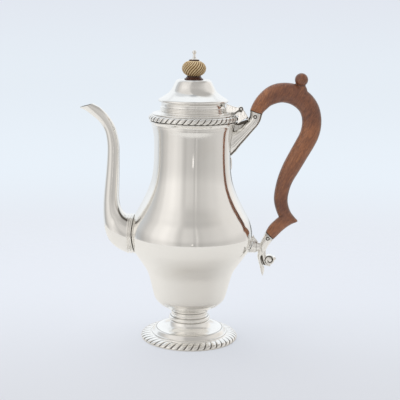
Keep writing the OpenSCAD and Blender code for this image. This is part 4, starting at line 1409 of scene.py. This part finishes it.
def make_knob_pin():
    """Pin from the nut up through the knob, with a ball on its waisted top."""
    base = PIN_TOP_Z + SEAT
    ball_r = 0.235 * PIN_TOP_H
    ball_z = base + PIN_TOP_H - ball_r
    low = TOP_Z - WALL - 4
    rod = [(0, low), (PIN_R, low), (PIN_R, base), (3.6, base)]
    waist = smooth([
        (3.6, base + 0.6), (1.4 * PIN_R, base + 0.2 * PIN_TOP_H), (PIN_R, base + 0.32 * PIN_TOP_H),
        (0.85 * PIN_R, ball_z - ball_r - 0.2),
    ], 5)
    ball = [
        (ball_r * math.cos(math.radians(a)), ball_z + ball_r * math.sin(math.radians(a)))
        for a in range(-60, 91, 10)
    ]
    piece("knob_pin", turned(rod + waist + ball, 64), "lid", SILVER, ["finial_pin"])


def make_knob():
    """Carved knob: spiral cuts all round, crossed by fainter ones the other way."""
    steps, end = 110, math.radians(65)
    cuts, twist, cross_twist = 24, 4.6, 6.0
    side = []
    for i in range(steps + 1):
        a = end * (2 * i / steps - 1)
        rise = 1 + math.sin(a) / math.sin(end)
        side.append((KNOB_R * math.cos(a) ** 0.88, KNOB_Z + KNOB_H / 2 * rise))
    outline = [(BORE_R, KNOB_Z)] + side + [(BORE_R, KNOB_Z + KNOB_H)]
    bm = turned(outline, 13 * cuts, closed=True)
    recess = bm.verts.layers.float.new("recess")
    for v in bm.verts:
        r = math.hypot(v.co.x, v.co.y)
        h = (v.co.z - KNOB_Z) / KNOB_H
        in_bore = r < 4
        if in_bore:
            continue
        turn = math.atan2(v.co.y, v.co.x) / math.tau
        fade = ease(h / 0.08) * ease((1 - h) / 0.08)
        main = abs(math.sin(math.pi * (cuts * turn - twist * h)))
        cross = abs(math.sin(math.pi * (cuts * turn + cross_twist * h)))
        dip = fade * (0.8 * (1 - main ** 0.8) + 0.2 * (1 - cross ** 0.6))
        v.co.x, v.co.y = v.co.x * (r - dip) / r, v.co.y * (r - dip) / r
        # Painted shade, with wax and dirt, in the cuts
        v[recess] = fade * min(1.0, 1.25 * (1 - main) ** 1.3 + 0.25 * (1 - cross) ** 3)
    piece("knob_carved", bm, "lid", BONE, ["finial_knob"], 80)


def finish_nut():
    """The nut under the lid keeps its CAD shape."""
    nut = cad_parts["finial_nut"]
    nut.data.materials.clear()
    nut.data.materials.append(SILVER[0])


# ---- Stage ----

# Colours of the floor in front of the pot, darker there as painted shadow, and behind it, and as the silver
# mirrors it
FLOOR_NEAR = (0.760, 0.782, 0.835)
FLOOR_BACK = (0.850, 0.890, 0.965)
FLOOR_MIRRORED = (0.82, 0.812, 0.797)
FLOOR_LEVEL = 0.92

# Brightness of the tent's walls by the angle round from the camera's side, in degrees
TENT_WALLS = (
    (-180, 0.92), (-146, 0.88), (-128, 0.86), (-119, 0.55), (-102, 0.51), (-86, 0.64), (-72, 0.80),
    (-52, 0.87), (-38, 0.78), (-20, 0.54), (-13, 0.60), (2, 0.57), (8, 0.46), (11, 0.64), (16, 0.49),
    (30, 0.54), (60, 0.61), (90, 0.69), (118, 0.72), (131, 0.84), (150, 0.88), (180, 0.92),
)
# Backdrop by height in degrees
BACKDROP = (
    (-24, (0.730, 0.755, 0.800)), (-18, (0.775, 0.805, 0.865)), (-12.5, (0.800, 0.838, 0.900)),
    (-9, (0.818, 0.885, 0.955)), (-4, (0.790, 0.850, 0.915)), (2, (0.760, 0.795, 0.865)),
)

CAMERA_PLACE = (0, -0.950, 0.320)
CAMERA_YAW = 0.491
CAMERA_PITCH = 10.906
CAMERA_ROLL = 1.175
# Focal length and picture width in pixels
FOCAL_PX = 1003.3
PICTURE_PX = 400


def floor_finish():
    """Pale board that clears away into the backdrop, sooner for the camera than in the silver."""
    material, tree, place = new_finish("floor")
    far = tree.node("ShaderNodeVectorMath", {"operation": "LENGTH"}, {0: place}, "Value")
    mirrored_ray = tree.node("ShaderNodeLightPath", {}, {}, "Is Glossy Ray")
    camera_ray = tree.node("ShaderNodeLightPath", {}, {}, "Is Camera Ray")
    # Darker in front of the pot as painted shadow
    seen = tree.mix(tree.ramp(tree.parts(place)[1], -0.25, 0.18), FLOOR_NEAR, FLOOR_BACK)
    board = tree.node("ShaderNodeBsdfDiffuse", {}, {"Color": tree.mix(mirrored_ray, seen, FLOOR_MIRRORED)})
    glow = tree.node("ShaderNodeEmission", {}, {"Color": seen, "Strength": FLOOR_LEVEL})
    board = tree.node("ShaderNodeMixShader", {}, {0: camera_ray * 0.70, 1: board, 2: glow})
    clear = tree.node("ShaderNodeBsdfTransparent", {}, {})
    gone = tree.ramp(far, 0.26, 0.62) * (1 - mirrored_ray) + tree.ramp(far, 0.41, 0.45) * mirrored_ray
    mixed = tree.node("ShaderNodeMixShader", {}, {0: gone, 1: board, 2: clear})
    tree.node("ShaderNodeOutputMaterial", {}, {"Surface": mixed})
    return material


def make_floor():
    bm = bmesh.new()
    bmesh.ops.create_circle(bm, cap_ends=True, radius=1.6, segments=96)
    mesh = bpy.data.meshes.new("floor")
    bm.to_mesh(mesh)
    bm.free()
    floor = bpy.data.objects.new("floor", mesh)
    bpy.context.scene.collection.objects.link(floor)
    mesh.materials.append(floor_finish())


def panel(tree, angle, start, end, soft):
    """1 between two angles in degrees, with soft edges."""
    return tree.ramp(angle, start - soft, start + soft) * tree.ramp(angle, end - soft, end + soft, 1.0, 0.0)


def tent_level(tree, azimuth, height):
    """Brightness of the tent: walls, roof, two dark slits at the back and a bright patch in front."""
    walls = tree.levels(azimuth / 360 + 0.5, [(0.5 + turn / 360, level) for turn, level in TENT_WALLS])
    walls = walls * (0.95 + tree.ramp(height, -6, 12, 0.0, 0.18))
    left = panel(tree, azimuth, -140, -22, 12)
    behind = tree.ramp(abs(azimuth), 130, 150) * panel(tree, height, 41, 76, 5)
    roof = (0.47 + left * 0.27) * (1 - behind) + behind
    up = tree.ramp(height, 33, 52)
    right_slit = panel(tree, azimuth, 153, 163, 3)
    left_slit = panel(tree, azimuth, -156, -148, 3) * tree.ramp(height, -8, 10, 0.0, 0.6)
    dark = (right_slit + left_slit) * tree.ramp(height, -7, -2, 0.85, 0.0)
    patch = panel(tree, azimuth, 1.5, 4.0, 0.4) * panel(tree, height, -7.6, -4.4, 0.4)
    return (walls * (1 - up) + roof * up) * (1 - dark) + patch * 1.1


def tent_tint(tree, azimuth):
    """Warm in front and cool behind and on the left."""
    behind = tree.ramp(abs(azimuth), 125, 155)
    cool = behind + (1 - behind) * tree.ramp(azimuth * -1, 92, 125)
    return tree.mix(cool, (1.0, 0.970, 0.935), (0.95, 0.985, 1.02))


def make_world():
    """Studio tent of soft panels for the silver, and the plain backdrop that the camera sees."""
    world = bpy.data.worlds.new("tent")
    bpy.context.scene.world = world
    tree = Tree(world)
    x, y, z = tree.parts(tree.node("ShaderNodeTexCoord", {}, {}, "Generated"))
    azimuth = tree.node("ShaderNodeMath", {"operation": "ARCTAN2"}, {0: x, 1: y * -1}) * math.degrees(1)
    height = tree.node("ShaderNodeMath", {"operation": "ARCSINE"}, {0: z}) * math.degrees(1)
    backdrop = tree.stops((height + 30) / 40, [((turn + 30) / 40, colour) for turn, colour in BACKDROP])
    tent = {"Color": tent_tint(tree, azimuth), "Strength": tent_level(tree, azimuth, height)}
    lit = tree.node("ShaderNodeBackground", {}, tent)
    shown = tree.node("ShaderNodeBackground", {}, {"Color": backdrop, "Strength": 1.0})
    camera_ray = tree.node("ShaderNodeLightPath", {}, {}, "Is Camera Ray")
    mixed = tree.node("ShaderNodeMixShader", {}, {0: camera_ray, 1: lit, 2: shown})
    tree.node("ShaderNodeOutputWorld", {}, {"Surface": mixed})


def make_key_lamp():
    place, target = Vector((-0.25, 0.30, 1.25)), Vector((0, 0, 0.1))
    data = bpy.data.lights.new("key", "AREA")
    data.shape = "SQUARE"
    data.size = 1.4
    data.energy = 8.0
    data.color = (1.0, 0.985, 0.96)
    lamp = bpy.data.objects.new("key", data)
    bpy.context.scene.collection.objects.link(lamp)
    lamp.location = place
    lamp.rotation_mode = "QUATERNION"
    lamp.rotation_quaternion = (target - place).to_track_quat("-Z", "Y")
    lamp.visible_glossy = False


def make_camera():
    yaw, pitch, roll = (math.radians(a) for a in (CAMERA_YAW, CAMERA_PITCH, CAMERA_ROLL))
    ahead = Vector((math.sin(yaw) * math.cos(pitch), math.cos(yaw) * math.cos(pitch), -math.sin(pitch)))
    right = Vector((math.cos(yaw), -math.sin(yaw), 0))
    up = right.cross(ahead)
    rolled_right = right * math.cos(roll) + up * math.sin(roll)
    rolled_up = up * math.cos(roll) - right * math.sin(roll)
    data = bpy.data.cameras.new("camera")
    data.sensor_width = 36
    data.lens = data.sensor_width * FOCAL_PX / PICTURE_PX
    camera = bpy.data.objects.new("camera", data)
    bpy.context.scene.collection.objects.link(camera)
    turn = Matrix((rolled_right, rolled_up, -ahead)).transposed()
    camera.matrix_world = Matrix.Translation(CAMERA_PLACE) @ turn.to_4x4()
    bpy.context.scene.camera = camera


make_body()
make_rim_collar()
make_lip_border()
make_foot()
make_foot_border()
make_foot_wire()
make_spout()
make_spout_collar()
make_handle()
make_upper_socket()
make_socket_drop()
make_lower_socket()
make_socket_plate()
make_rivets()
make_hinge_lug()
make_hinge_bracket()
make_hinge_pin()
make_lid_flange()
make_lid_bezel()
make_lid_band()
make_lid_dome()
make_knob_collar()
make_knob_washer()
make_knob_pin()
make_knob()
finish_nut()
make_floor()
make_world()
make_key_lamp()
make_camera()
bpy.context.scene.view_settings.view_transform = "Standard"
